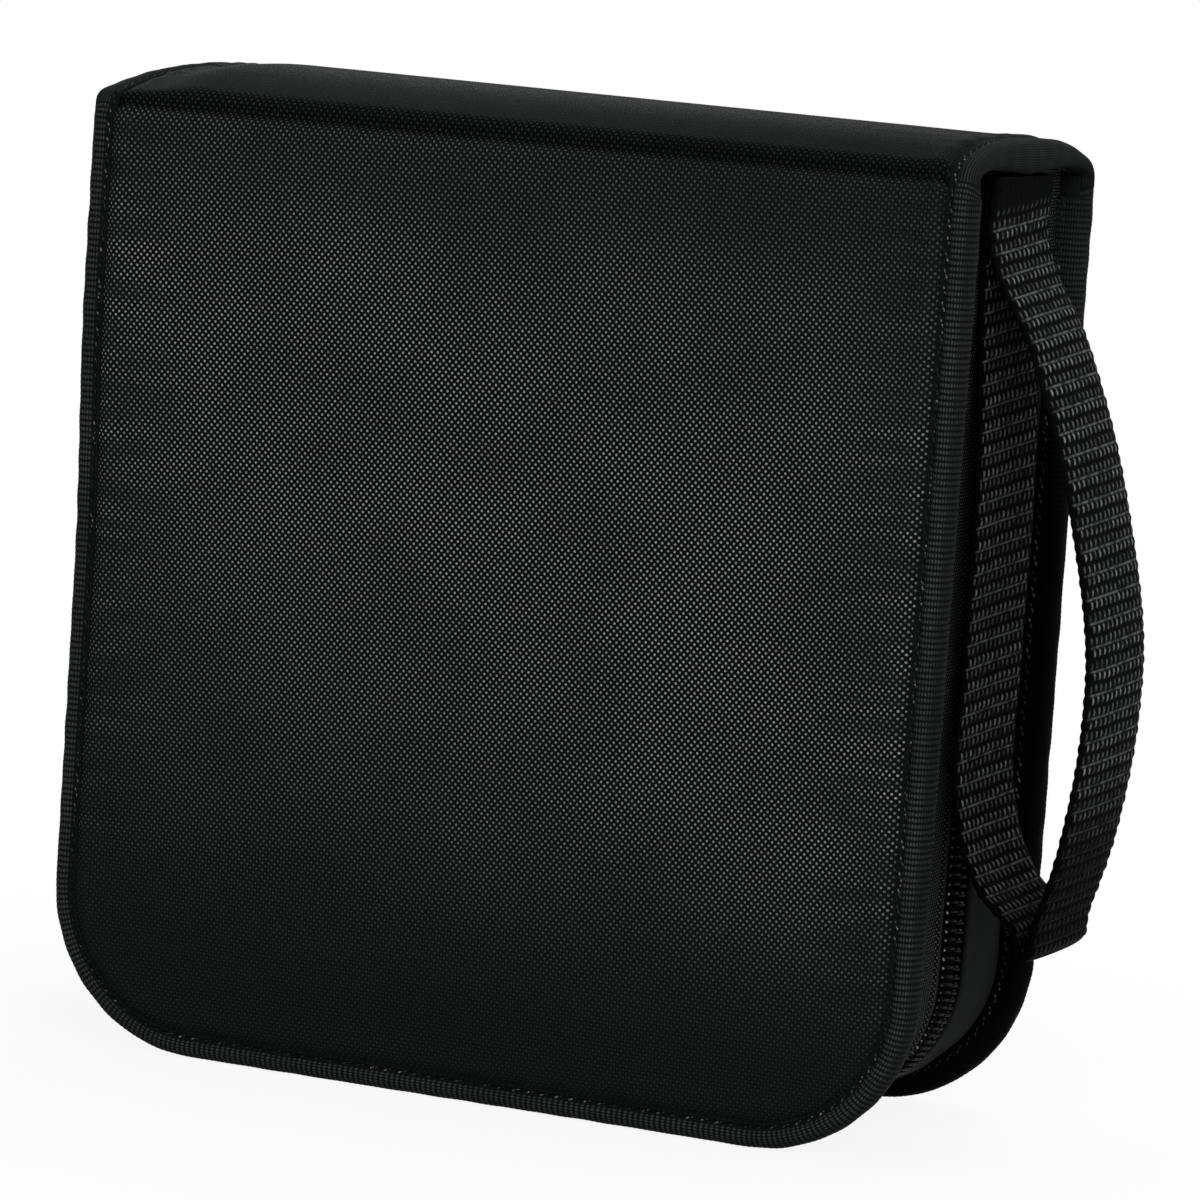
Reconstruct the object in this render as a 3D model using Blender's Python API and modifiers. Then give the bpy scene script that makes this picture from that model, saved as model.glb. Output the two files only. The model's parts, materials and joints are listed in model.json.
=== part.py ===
"""Zipped storage case for discs, standing on the edges of its covers with the spine up.

Metres, +Z up, X along the spine, front cover at -Y. The origin lies on the floor under the
centre of the whole outline, wrist strap included.
"""

import math

import bmesh
import bpy
from mathutils import Matrix, Vector

# Case
cover_width = 0.163
crease_height = 0.165
case_depth = 0.062
corner_radius = 0.0285
gap = 0.0003
corner_steps = 8

# Layers of a cover, from the outside in
pad_rise = 0.0006
tape_thickness = 0.0006
skin_thickness = 0.0014
board_thickness = 0.0018
lining_thickness = 0.0008
pad_round = 0.0010
board_inset = 0.0010

# Edge tape
binding_width = 0.0047
binding_round = 0.0011
stitch_groove = 0.0009

# Spine
spine_rise = 0.0062
spine_skin_thickness = 0.0011
spine_steps = 28
sharp_angle = 30.0

# Gusset and zip
gusset_thickness = 0.0008
gusset_edge = 0.0060
zip_tape_width = 0.0085
zip_tape_edge = 0.0010
coil_edge = 0.0007
coil_width = 0.0024
coil_height = 0.0018
coil_round = 0.0005
end_panel_drop = 0.0115
end_panel_thickness = 0.0008
bent_coil_length = 0.0250

# Slider
slider_width = 0.0088
slider_length = 0.0115
slider_plate = 0.0010
slider_round = 0.0016
slider_play = 0.0003
slider_flange = 0.0009
slider_wedge = 0.0008
slider_wedge_length = 0.0022
slider_stop_gap = 0.0012
bridge_length = 0.0066
bridge_width = 0.0022
bridge_rise = 0.0026
bridge_thickness = 0.0008

# Pull tab
tab_length = 0.0240
tab_width = 0.0068
tab_thickness = 0.0011
tab_eye_length = 0.0056
tab_eye_width = 0.0038
tab_round = 0.0016

# Disc sleeves
leaf_count = 20
leaf_pitch = 0.0022
leaf_thickness = 0.0016
leaf_side_clearance = 0.0037
leaf_foot_clearance = 0.00995
leaf_corner = 0.0080
leaf_root = 0.0035
pocket_film = 0.0003
pocket_mouth_drop = 0.0060
pocket_seam = 0.0040
thumb_notch_radius = 0.0140
thumb_steps = 8
strip_thickness = 0.0008

# Wrist strap
strap_width = 0.0290
strap_thickness = 0.0016
strap_bow = 0.0214
strap_drop = 0.1316
strap_hang = 0.0013
strap_sewn_length = 0.0110
strap_steps = 5
strap_belly_share = 0.07

half_width = cover_width / 2
half_depth = case_depth / 2
case_x = -strap_bow / 2
crease_gap = gap

# Depths in a cover, measured outward from its hinge line at the outer face
tape_outer = -pad_rise
skin_outer = tape_outer - tape_thickness - gap
skin_inner = skin_outer - skin_thickness
board_outer = skin_inner - gap
board_inner = board_outer - board_thickness
lining_outer = board_inner - gap
lining_inner = lining_outer - lining_thickness
flange_outer = lining_inner - gap
flange_inner = flange_outer - tape_thickness

# Offsets inward from the outline of a cover
layer_inset = tape_thickness + gap
pad_inset = binding_width + stitch_groove
gusset_inset = binding_width + gap
zip_inset = gusset_inset + gusset_thickness + gap
coil_inset = zip_inset - gap - coil_height

# Heights below the crease
cover_top = -crease_gap / 2
end_panel_bottom = -end_panel_drop
gusset_top = end_panel_bottom - gap

# Finishes: colour, roughness, metallic
COVER_CLOTH = ((0.012, 0.013, 0.013), 0.7, 0.0)
GUSSET_CLOTH = ((0.012, 0.013, 0.013), 0.75, 0.0)
EDGE_TAPE = ((0.020, 0.021, 0.021), 0.75, 0.0)
ZIP_TAPE = ((0.014, 0.014, 0.015), 0.8, 0.0)
WEBBING = ((0.018, 0.019, 0.019), 0.6, 0.0)
LINING = ((0.016, 0.016, 0.017), 0.8, 0.0)
BOARD = ((0.220, 0.200, 0.170), 0.8, 0.0)
COIL = ((0.010, 0.010, 0.010), 0.4, 0.0)
METAL = ((0.050, 0.050, 0.052), 0.35, 0.9)
FILM = ((0.350, 0.360, 0.370), 0.45, 0.0)

for old in list(bpy.data.objects):
    bpy.data.objects.remove(old, do_unlink=True)

parts = bpy.data.collections.new("cd_storage_case")
cutters = bpy.data.collections.new("cutters")
bpy.context.scene.collection.children.link(parts)
bpy.context.scene.collection.children.link(cutters)


def material(name, colour, roughness, metallic):
    made = bpy.data.materials.new(name)
    made.use_nodes = True
    shader = made.node_tree.nodes["Principled BSDF"]
    shader.inputs["Base Color"].default_value = (*colour, 1.0)
    shader.inputs["Roughness"].default_value = roughness
    shader.inputs["Metallic"].default_value = metallic
    return made


def frame_at(name, position, turn=0.0):
    """Empty on a joint's axis, or at a place that several pieces share."""
    empty = bpy.data.objects.new(name, None)
    empty.location = position
    empty.rotation_euler.z = turn
    parts.objects.link(empty)
    return empty


def add_part(name, shape, parent, look):
    mesh = bpy.data.meshes.new(name)
    shape.to_mesh(mesh)
    shape.free()
    made = bpy.data.objects.new(name, mesh)
    made.parent = parent
    mesh.materials.append(material(name + "_finish", *look))
    parts.objects.link(made)
    return made


def add_cutter(name, shape, parent):
    mesh = bpy.data.meshes.new(name)
    shape.to_mesh(mesh)
    shape.free()
    made = bpy.data.objects.new(name, mesh)
    made.parent = parent
    made.hide_render = True
    made.display_type = "WIRE"
    cutters.objects.link(made)
    return made


def boolean(target, tool, operation="DIFFERENCE", solver="EXACT"):
    step = target.modifiers.new(operation.title(), "BOOLEAN")
    step.operation = operation
    step.solver = solver
    step.object = tool


def bevel(target, width, segments=1):
    step = target.modifiers.new("Bevel", "BEVEL")
    step.width = width
    step.segments = segments
    step.limit_method = "ANGLE"
    step.angle_limit = math.radians(sharp_angle)


def box(low, high):
    shape = bmesh.new()
    bmesh.ops.create_cube(shape, size=1.0)
    low = Vector(low)
    high = Vector(high)
    size = high - low
    bmesh.ops.scale(shape, vec=size, verts=shape.verts)
    bmesh.ops.translate(shape, vec=(low + high) / 2, verts=shape.verts)
    return shape


def round_panel(half, bottom, top, inner, outer, corner):
    """Upright panel with both lower corners rounded."""
    shape = box((-half, inner, bottom), (half, outer, top))
    lower = [
        edge
        for edge in shape.edges
        if all(abs(v.co.z - bottom) < 1e-6 for v in edge.verts)
        and abs(edge.verts[0].co.y - edge.verts[1].co.y) > 1e-6
    ]
    bmesh.ops.bevel(shape, geom=lower, offset=corner, segments=corner_steps, profile=0.5,
                    affect="EDGES", material=-1)
    return shape


def panel(inset, top, inner, outer):
    """Upright panel inside a cover's outline, hung from its crease."""
    return round_panel(half_width - inset, inset - crease_height, top, inner, outer,
                       corner_radius - inset)


def round_rim(shape, depths, width):
    """Round a panel's rim at the given depths."""
    rim = [
        edge
        for edge in shape.edges
        if any(all(abs(v.co.y - depth) < 1e-6 for v in edge.verts) for depth in depths)
    ]
    bmesh.ops.bevel(shape, geom=rim, offset=width, segments=2, profile=0.5,
                    affect="EDGES", material=-1)


def channel(inset, top, inner, outer):
    """Open strip that follows a cover's outline round three sides."""
    shape = panel(inset, top, inner, outer)
    shape.normal_update()
    ends = [face for face in shape.faces if abs(face.normal.y) > 0.9 or face.normal.z > 0.9]
    bmesh.ops.delete(shape, geom=ends, context="FACES")
    return shape


def thicken(target, thickness):
    step = target.modifiers.new("Solidify", "SOLIDIFY")
    step.thickness = thickness
    step.offset = -1.0
    step.use_even_offset = True


def arch(half, rise, base, start, end):
    """Solid under half an ellipse, lying along X, cut flat at a height above the crease."""
    shape = bmesh.new()
    bmesh.ops.create_cone(shape, cap_ends=True, segments=2 * spine_steps, radius1=1.0,
                          radius2=1.0, depth=1.0)
    bmesh.ops.rotate(shape, matrix=Matrix.Rotation(math.pi / 2, 3, "Y"), verts=shape.verts)
    bmesh.ops.scale(shape, vec=(end - start, half, rise), verts=shape.verts)
    bmesh.ops.translate(shape, vec=((start + end) / 2, 0.0, 0.0), verts=shape.verts)
    cut = bmesh.ops.bisect_plane(shape, geom=shape.verts[:] + shape.edges[:] + shape.faces[:],
                                 plane_co=(0.0, 0.0, base), plane_no=(0.0, 0.0, 1.0),
                                 clear_inner=True)
    rim = [item for item in cut["geom_cut"] if isinstance(item, bmesh.types.BMEdge)]
    bmesh.ops.contextual_create(shape, geom=rim)
    bmesh.ops.recalc_face_normals(shape, faces=shape.faces)
    return shape


def curve_shape(path):
    """Mesh of a curve drawn in the plane across the case, its X along the spine and Y up."""
    guide = bpy.data.objects.new(path.name, path)
    cutters.objects.link(guide)
    bpy.context.view_layer.update()
    view = bpy.context.evaluated_depsgraph_get()
    flat = bpy.data.meshes.new_from_object(guide.evaluated_get(view))
    shape = bmesh.new()
    shape.from_mesh(flat)
    bpy.data.objects.remove(guide, do_unlink=True)
    bpy.data.meshes.remove(flat)
    bmesh.ops.remove_doubles(shape, verts=shape.verts, dist=0.00001)
    bmesh.ops.rotate(shape, matrix=Matrix.Rotation(math.pi / 2, 3, "X"), verts=shape.verts)
    return shape


def outline_plate(points, half_thickness):
    """Flat plate with the given outline."""
    path = bpy.data.curves.new("plate_outline", "CURVE")
    path.dimensions = "2D"
    path.fill_mode = "BOTH"
    path.extrude = half_thickness
    spline = path.splines.new("POLY")
    spline.points.add(len(points) - 1)
    for point, (across, height) in zip(spline.points, points):
        point.co = (across, height, 0.0, 1.0)
    spline.use_cyclic_u = True
    return curve_shape(path)


def make_cover(side, hinge):
    """Skin, board, lining and edge tape of one cover, hung from its crease."""
    skin = add_part(side + "_cover_skin", panel(layer_inset, cover_top, skin_inner, skin_outer),
                    hinge, COVER_CLOTH)
    pad = panel(pad_inset, cover_top - gap, (skin_inner + skin_outer) / 2, 0.0)
    round_rim(pad, (0.0,), pad_round)
    boolean(skin, add_cutter(side + "_pad", pad, hinge), "UNION")

    add_part(side + "_cover_board",
             panel(layer_inset + board_inset, cover_top - gap, board_inner, board_outer),
             hinge, BOARD)
    add_part(side + "_cover_lining", panel(layer_inset, cover_top, lining_inner, lining_outer),
             hinge, LINING)

    tape = panel(0.0, cover_top, flange_inner, tape_outer)
    round_rim(tape, (flange_inner, tape_outer), binding_round)
    binding = add_part(side + "_cover_binding", tape, hinge, EDGE_TAPE)
    pocket = panel(tape_thickness, crease_height, flange_outer, skin_outer + gap)
    window = panel(binding_width, crease_height, -case_depth, case_depth)
    boolean(binding, add_cutter(side + "_binding_pocket", pocket, hinge))
    boolean(binding, add_cutter(side + "_binding_window", window, hinge))


def make_gusset(side, hinge):
    """Gusset cloth, zip tape and row of coil that close one cover's share of the rim."""
    cloth = channel(gusset_inset, gusset_top, gusset_edge - half_depth, lining_inner - gap)
    thicken(add_part(side + "_gusset", cloth, hinge, GUSSET_CLOTH), gusset_thickness)

    tape = channel(zip_inset, gusset_top, zip_tape_edge - half_depth,
                   zip_tape_edge + zip_tape_width - half_depth)
    thicken(add_part(side + "_zip_tape", tape, hinge, ZIP_TAPE), tape_thickness)

    row = channel(coil_inset, gusset_top, coil_edge - half_depth,
                  coil_edge + coil_width - half_depth)
    coil = add_part(side + "_zip_coil", row, hinge, COIL)
    thicken(coil, coil_height)
    bevel(coil, coil_round)
    return coil


def make_bent_coil(hinge, coil):
    """Upper end of the front coil, inside the parked slider, where the row bends as it opens."""
    outer = half_width - coil_inset
    joint = gusset_top - bent_coil_length
    near = coil_edge - half_depth
    far = near + coil_width
    room = box((0.0, near - gap, joint), (half_width, far + gap, gap))
    boolean(coil, add_cutter("bent_coil_room", room, hinge))
    row = box((outer - coil_height, near, joint + gap), (outer, far, gusset_top))
    bent = add_part("front_zip_end", row, hinge, COIL)
    bevel(bent, coil_round)


def arch_half(half, rise, height):
    return half * math.sqrt(1.0 - (height / rise) ** 2)


def make_spine(middle):
    """Arched skin, stiffener, lining and end tapes of the spine."""
    base = crease_gap / 2
    tape_top = base + tape_thickness
    lining_base = tape_top + gap
    lining_top = lining_base + lining_thickness
    pocket_half = half_depth - tape_thickness
    pocket_rise = spine_rise - tape_thickness
    skin_half = pocket_half - gap
    skin_rise = pocket_rise - gap
    inner_half = skin_half - spine_skin_thickness
    inner_rise = skin_rise - spine_skin_thickness
    end = half_width - tape_thickness - gap

    skin = add_part("spine_skin", arch(skin_half, skin_rise, base, -end, end), middle,
                    COVER_CLOTH)
    hollow = arch(inner_half, inner_rise, 0.0, -cover_width, cover_width)
    boolean(skin, add_cutter("spine_hollow", hollow, middle))

    board = arch(inner_half - gap, inner_rise - gap, lining_top + gap, -end, end)
    add_part("spine_board", board, middle, BOARD)
    lining_half = arch_half(inner_half - gap, inner_rise - gap, lining_top)
    lining = box((-end, -lining_half, lining_base), (end, lining_half, lining_top))
    add_part("spine_lining", lining, middle, LINING)

    flange_half = arch_half(inner_half - gap, inner_rise - gap, tape_top)
    for name, turn in (("right", 0.0), ("left", math.pi)):
        place = frame_at("spine_end_" + name, (0.0, 0.0, 0.0), turn)
        place.parent = middle
        start = half_width - binding_width
        tape = add_part("spine_binding_" + name,
                        arch(half_depth, spine_rise, base, start, half_width), place,
                        EDGE_TAPE)
        pocket = arch(pocket_half, pocket_rise, 0.0, 0.0, half_width - tape_thickness)
        flange = box((start, -flange_half, base), (half_width, flange_half, tape_top))
        boolean(tape, add_cutter("spine_pocket_" + name, pocket, place))
        boolean(tape, add_cutter("spine_flange_" + name, flange, place), "UNION")
        wall = half_width - gusset_inset
        reach = half_depth + lining_inner - gap
        cloth = box((wall - end_panel_thickness, -reach, end_panel_bottom),
                    (wall, reach, lining_base - gap))
        add_part("gusset_end_" + name, cloth, place, GUSSET_CLOTH)


def make_sleeves(middle):
    """Leaves of disc pockets welded into one block, and the strip that it is sewn to."""
    strip_top = crease_gap / 2 + tape_thickness
    strip_base = strip_top - strip_thickness
    block_top = strip_base - gap
    stack = leaf_count * leaf_pitch / 2
    side = half_width - gusset_inset - gusset_thickness - leaf_side_clearance
    strip = box((-side, -stack, strip_base), (side, stack, strip_top))
    add_part("sleeve_strip", strip, middle, LINING)

    foot = zip_inset + tape_thickness + leaf_foot_clearance - crease_height
    block = round_panel(side, foot, block_top, -stack, stack, leaf_corner)
    sleeves = add_part("disc_sleeves", block, middle, FILM)

    root = block_top - leaf_root
    slot = (leaf_pitch - leaf_thickness) / 2
    lane = box((-half_width, -slot, foot - leaf_pitch), (half_width, slot, root))
    cut_rows(sleeves, add_cutter("leaf_lane", lane, middle), stack)

    mouth = root - pocket_mouth_drop
    edge = side - pocket_seam
    thumb = [
        (-thumb_notch_radius * math.cos(math.pi * step / thumb_steps),
         mouth - thumb_notch_radius * math.sin(math.pi * step / thumb_steps))
        for step in range(thumb_steps + 1)
    ]
    outline = [(-edge, root - pocket_film), (-edge, mouth), *thumb, (edge, mouth),
               (edge, root - pocket_film)]
    entry = outline_plate(outline, slot + pocket_film)
    cut_rows(sleeves, add_cutter("pocket_entry", entry, middle), stack)


def cut_rows(block, tool, stack):
    """Cut a row of like gaps across the block, one at each face of each leaf."""
    tool.location.y = -stack
    rows = tool.modifiers.new("Rows", "ARRAY")
    rows.count = leaf_count + 1
    rows.use_relative_offset = False
    rows.use_constant_offset = True
    rows.constant_offset_displace = (0.0, leaf_pitch, 0.0)
    rows.use_merge_vertices = False
    boolean(block, tool, solver="MANIFOLD")


def make_strap(middle):
    """Webbing folded to a hanging loop, with both ends sewn under the spine's right end."""
    top = crease_gap / 2 - gap
    inner = half_width - coil_inset + strap_hang + strap_thickness / 2
    sewn_inner = half_width - coil_inset + gap + strap_thickness
    sewn_outer = sewn_inner + strap_thickness + gap
    outer = half_width + strap_bow - strap_thickness / 2
    bow = outer - inner
    drop = strap_drop - strap_thickness / 2
    # The way round the loop, as shares of its bow and its drop
    belly = (1.0, 0.645)
    hanging = (
        (0.39, 0.225), (0.785, 0.425), belly, (0.905, 0.835), (0.73, 0.955),
        (0.64, 1.0), (0.545, 0.968), (0.24, 0.915), (0.03, 0.82), (0.0, 0.64), (0.0, 0.42),
    )
    line = [(sewn_outer, top), (sewn_outer, -strap_sewn_length)]
    line += [(inner + bow * across, -drop * down) for across, down in hanging]
    line += [(sewn_inner, -strap_sewn_length), (sewn_inner, top)]

    path = bpy.data.curves.new("strap_path", "CURVE")
    path.dimensions = "2D"
    path.fill_mode = "NONE"
    path.resolution_u = strap_steps
    path.extrude = strap_width / 2
    spline = path.splines.new("BEZIER")
    spline.bezier_points.add(len(line) - 1)
    for point, (across, height) in zip(spline.bezier_points, line):
        point.co = (across, height, 0.0)
        point.handle_left_type = "AUTO"
        point.handle_right_type = "AUTO"
    # The loop runs straight down where it stands out furthest
    widest = spline.bezier_points[2 + hanging.index(belly)]
    widest.handle_left_type = "FREE"
    widest.handle_right_type = "FREE"
    widest.handle_left = widest.co + Vector((0.0, drop * strap_belly_share, 0.0))
    widest.handle_right = widest.co - Vector((0.0, drop * strap_belly_share, 0.0))
    strap = add_part("wrist_strap", curve_shape(path), middle, WEBBING)
    step = strap.modifiers.new("Solidify", "SOLIDIFY")
    step.thickness = strap_thickness
    step.offset = 0.0


def make_slider(runner):
    """Zip slider: two plates joined by a wedge, with side flanges and a bridge for the tab."""
    half = slider_width / 2
    reach = slider_length / 2
    slot_inner = -tape_thickness - slider_play
    coil_top = gap + coil_height
    slot_outer = coil_top + slider_play
    plate_outer = slot_outer + slider_plate
    flange_end = gap + slider_play
    body = box((slot_inner - slider_plate, -half, -reach), (plate_outer, half, reach))
    slider = add_part("zip_slider", body, runner, METAL)
    bevel(slider, slider_round, 3)

    tape_slot = box((slot_inner, -slider_width, -slider_length),
                    (flange_end, slider_width, slider_length))
    boolean(slider, add_cutter("slider_tape_slot", tape_slot, runner))
    channel_half = half - slider_flange
    coil_lane = box((slot_inner + gap, -channel_half, -slider_length),
                    (slot_outer, channel_half, slider_length))
    boolean(slider, add_cutter("slider_coil_lane", coil_lane, runner))
    wedge = box((slot_inner - slider_plate / 2, -slider_wedge / 2, reach - slider_wedge_length),
                (slot_outer + slider_plate / 2, slider_wedge / 2, reach - gap))
    boolean(slider, add_cutter("slider_wedge", wedge, runner), "UNION")

    bridge_half = bridge_length / 2
    bridge_top = plate_outer + bridge_rise
    bridge = add_cutter("slider_bridge",
                        box((plate_outer - slider_plate / 2, -bridge_width / 2, -bridge_half),
                            (bridge_top, bridge_width / 2, bridge_half)), runner)
    bevel(bridge, bridge_thickness / 3)
    eye = box((0.0, -slider_width, bridge_thickness - bridge_half),
              (bridge_top - bridge_thickness, slider_width, bridge_half - bridge_thickness))
    boolean(bridge, add_cutter("slider_bridge_eye", eye, runner))
    boolean(slider, bridge, "UNION")
    return (plate_outer + bridge_top - bridge_thickness) / 2


def make_pull_tab(pivot):
    """Flat tab whose cross-bar passes through the slider's bridge."""
    bar = tab_thickness / 2
    plate = round_panel(tab_width / 2, -tab_length, bar, -bar, bar, tab_round)
    bmesh.ops.rotate(plate, matrix=Matrix.Rotation(math.pi / 2, 3, "Z"), verts=plate.verts)
    tab = add_part("zip_pull_tab", plate, pivot, METAL)
    eye = box((-tab_width, -tab_eye_width / 2, -tab_eye_length),
              (tab_width, tab_eye_width / 2, -bar))
    boolean(tab, add_cutter("tab_eye", eye, pivot))


front_crease = frame_at("front_crease", (case_x, -half_depth, crease_height), math.pi)
rear_crease = frame_at("rear_crease", (case_x, half_depth, crease_height))
spine_middle = frame_at("spine_middle", (0.0, -half_depth, 0.0))
spine_middle.parent = rear_crease

make_cover("front", front_crease)
make_bent_coil(front_crease, make_gusset("front", front_crease))
make_cover("back", rear_crease)
make_gusset("back", rear_crease)
make_spine(spine_middle)
make_sleeves(spine_middle)
make_strap(spine_middle)

slider_height = crease_height + gusset_top - slider_stop_gap - slider_length / 2
zip_runner = frame_at("zip_runner", (case_x - half_width + zip_inset, 0.0, slider_height),
                      math.pi)
tab_reach = make_slider(zip_runner)
tab_pivot_drop = bridge_length / 2 - bridge_thickness - tab_thickness / 2 - slider_play
tab_pivot = frame_at("tab_pivot", (tab_reach, 0.0, -tab_pivot_drop))
tab_pivot.parent = zip_runner
make_pull_tab(tab_pivot)

for piece in parts.objects:
    if piece.type == "MESH":
        piece.data.shade_smooth()
        piece.data.set_sharp_from_angle(angle=math.radians(sharp_angle))
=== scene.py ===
"""Looks of a zipped disc case: padded nylon covers, arched spine, ribbed edge tape, zip and wrist strap.

Metres, +Z up, X along the spine, front cover at -Y. Cloth that folds over the creases is laid out
flat first, as a distance along the spine and a distance up from a cover's foot, and then folded.
"""

import json
import math

import bmesh
import bpy
import numpy as np
from mathutils import Matrix, Vector
from mathutils.geometry import interpolate_bezier


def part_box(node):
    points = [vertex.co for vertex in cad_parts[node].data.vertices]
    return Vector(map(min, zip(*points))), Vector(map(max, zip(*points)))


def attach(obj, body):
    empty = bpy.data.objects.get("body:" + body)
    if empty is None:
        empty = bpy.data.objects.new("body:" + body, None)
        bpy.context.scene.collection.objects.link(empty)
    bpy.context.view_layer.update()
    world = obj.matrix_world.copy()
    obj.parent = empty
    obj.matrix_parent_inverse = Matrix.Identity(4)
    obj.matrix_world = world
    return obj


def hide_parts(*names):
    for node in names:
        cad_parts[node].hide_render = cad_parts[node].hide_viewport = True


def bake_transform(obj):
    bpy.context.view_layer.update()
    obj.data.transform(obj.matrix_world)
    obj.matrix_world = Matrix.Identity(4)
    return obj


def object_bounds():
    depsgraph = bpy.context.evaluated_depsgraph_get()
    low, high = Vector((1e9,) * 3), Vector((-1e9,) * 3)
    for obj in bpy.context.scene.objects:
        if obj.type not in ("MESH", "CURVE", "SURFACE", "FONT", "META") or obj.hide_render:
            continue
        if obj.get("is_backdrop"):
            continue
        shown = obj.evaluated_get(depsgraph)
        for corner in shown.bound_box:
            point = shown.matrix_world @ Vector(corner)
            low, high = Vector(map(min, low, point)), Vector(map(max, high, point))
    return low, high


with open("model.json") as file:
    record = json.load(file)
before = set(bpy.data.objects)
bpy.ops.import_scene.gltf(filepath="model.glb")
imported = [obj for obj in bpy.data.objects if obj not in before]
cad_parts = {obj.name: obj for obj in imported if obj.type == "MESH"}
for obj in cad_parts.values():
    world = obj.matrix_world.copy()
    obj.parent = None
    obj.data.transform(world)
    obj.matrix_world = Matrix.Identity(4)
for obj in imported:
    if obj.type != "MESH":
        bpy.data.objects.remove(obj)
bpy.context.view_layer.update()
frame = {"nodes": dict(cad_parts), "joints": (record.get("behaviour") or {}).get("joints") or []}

bl_info = {
    "name": "Zipped Disc Case",
    "version": (1, 0, 0),
    "blender": (4, 5, 0),
    "location": "View3D > Sidebar > Disc Case",
    "description": "Dresses a zipped disc case with cloth, edge tape, stitching, a zip and webbing",
    "category": "Object",
}

hinge = {joint["name"]: Vector(joint["pos_m"]) for joint in frame["joints"] if "pos_m" in joint}
tape_low, tape_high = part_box("front_cover_binding")
case_x = (tape_low.x + tape_high.x) / 2
half_width = (tape_high.x - tape_low.x) / 2
half_depth = hinge["spine_hinge"].y
crease_z = hinge["front_cover_hinge"].z
gusset_low, gusset_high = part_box("front_gusset")
strap_low, strap_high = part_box("wrist_strap")
sides = {"front": -1.0, "back": 1.0}


def size(name, description, default, **settings):
    return bpy.props.FloatProperty(name=name, description=description, default=default,
                                   unit="LENGTH", subtype="DISTANCE", precision=5, **settings)


def colour(name, description, default):
    return bpy.props.FloatVectorProperty(name=name, description=description, default=default,
                                         subtype="COLOR", size=3, min=0.0, max=1.0)


class CoverSizes(bpy.types.PropertyGroup):
    corner_radius: size("Corner Radius", "Radius of the covers' lower corners", 0.0285)
    crown: size("Crown", "Rise of the padding in the middle of a cover", 0.0006)
    ridge: size("Ridge", "Rise of the cloth beside the edge tape", 0.0003)
    crease_depth: size("Crease Depth", "Depth of the groove where a cover meets the spine", 0.0008)
    cloth_thickness: size("Cloth Thickness", "Thickness of the outer cloth", 0.0007)
    thread_across: size("Thread Width Across", "Width of a thread that runs up the cover", 0.000587)
    thread_along: size("Thread Width Along", "Width of a thread that runs along the spine", 0.000628)
    dark: colour("Shaded Thread", "Colour between the thread crowns", (0.0048, 0.0057, 0.0053))
    # Crown colours are painted glints on the thread crowns: bright inside the painted sheen band, weak
    # outside it
    dull: colour("Dull Crown", "Colour on the thread crowns of dull cloth", (0.0190, 0.0215, 0.0205))
    bright: colour("Bright Crown", "Colour on the thread crowns of shiny cloth", (0.315, 0.332, 0.326))
    # The spine's colour is painted grazing sheen on plain cloth
    top: colour("Spine", "Colour of the dusty cloth on the spine", (0.0138, 0.0156, 0.0150))


class TapeSizes(bpy.types.PropertyGroup):
    rib_pitch: size("Rib Pitch", "Distance from one rib to the next", 0.0010)
    rib_height: size("Rib Height", "Height of a rib", 0.00013)
    yarn_width: size("Yarn Width", "Width of a yarn in a rib", 0.0005)
    stitch_pitch: size("Stitch Pitch", "Distance from one stitch to the next", 0.0027)
    stitch_length: size("Stitch Length", "Length of each of the two loops in a stitch", 0.00075)
    stitch_gap: size("Stitch Gap", "Distance between the two loops of a stitch", 0.0010)
    stitch_inset: size("Stitch Inset", "Distance of the seam from the cover's edge", 0.0039)
    thread_radius: size("Thread Radius", "Radius of the sewing thread", 0.00019)
    dark: colour("Shaded Yarn", "Colour between the tape's ribs", (0.0052, 0.0060, 0.0057))
    bright: colour("Rib Crown", "Colour on the tape's ribs", (0.050, 0.054, 0.0525))
    thread_tint: colour("Sewing Thread", "Colour of the sewing thread", (0.016, 0.017, 0.0165))


class GussetSizes(bpy.types.PropertyGroup):
    inset: size("Inset", "Distance of the walls in from the case's outline", 0.0052)
    thickness: size("Thickness", "Thickness of the cloth", 0.0006)
    bulge: size("Bulge", "Rise of a wall between its two seams", 0.0008)
    hem: size("Hem", "Rise of the fold beside the zip", 0.0005)
    dark: colour("Shaded Thread", "Colour between the thread crowns", (0.0040, 0.0047, 0.0045))
    bright: colour("Thread Crown", "Colour on the thread crowns", (0.090, 0.096, 0.094))
    # The back wall is the same cloth as the front wall, in painted light: paler between the threads,
    # with dimmer crowns
    back_wall_painted_shade: colour("Back Wall Shade", "Darker colour of the smooth back wall",
                        (0.0125, 0.0145, 0.0138))
    back_wall_painted_crown: colour("Back Wall Crown", "Brighter colour of the smooth back wall",
                          (0.026, 0.029, 0.028))


class ZipSizes(bpy.types.PropertyGroup):
    tooth_pitch: size("Tooth Pitch", "Distance between the teeth of one row", 0.0016)
    wire_radius: size("Wire Radius", "Radius of the coiled filament", 0.00030)
    tooth_inset: size("Tooth Inset", "Distance of the teeth in from the case's outline", 0.0050)
    tape_inset: size("Tape Inset", "Distance of the tapes in from the case's outline", 0.0062)
    tape_thickness: size("Tape Thickness", "Thickness of the tapes", 0.0005)
    tape_dark: colour("Shaded Thread", "Colour between the tapes' threads", (0.0030, 0.0031, 0.0032))
    tape_bright: colour("Thread Crown", "Colour on the tapes' threads", (0.018, 0.018, 0.019))
    tint: colour("Coil", "Colour of the coiled filament", (0.0045, 0.0045, 0.0046))
    # Paler than the edge thread: partly the thread's own colour, partly painted highlights
    thread_tint: colour("Coil Thread", "Colour of the thread beside the teeth", (0.055, 0.059, 0.057))
    slider_tint: colour("Slider", "Colour of the slider's enamel", (0.018, 0.018, 0.019))


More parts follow.
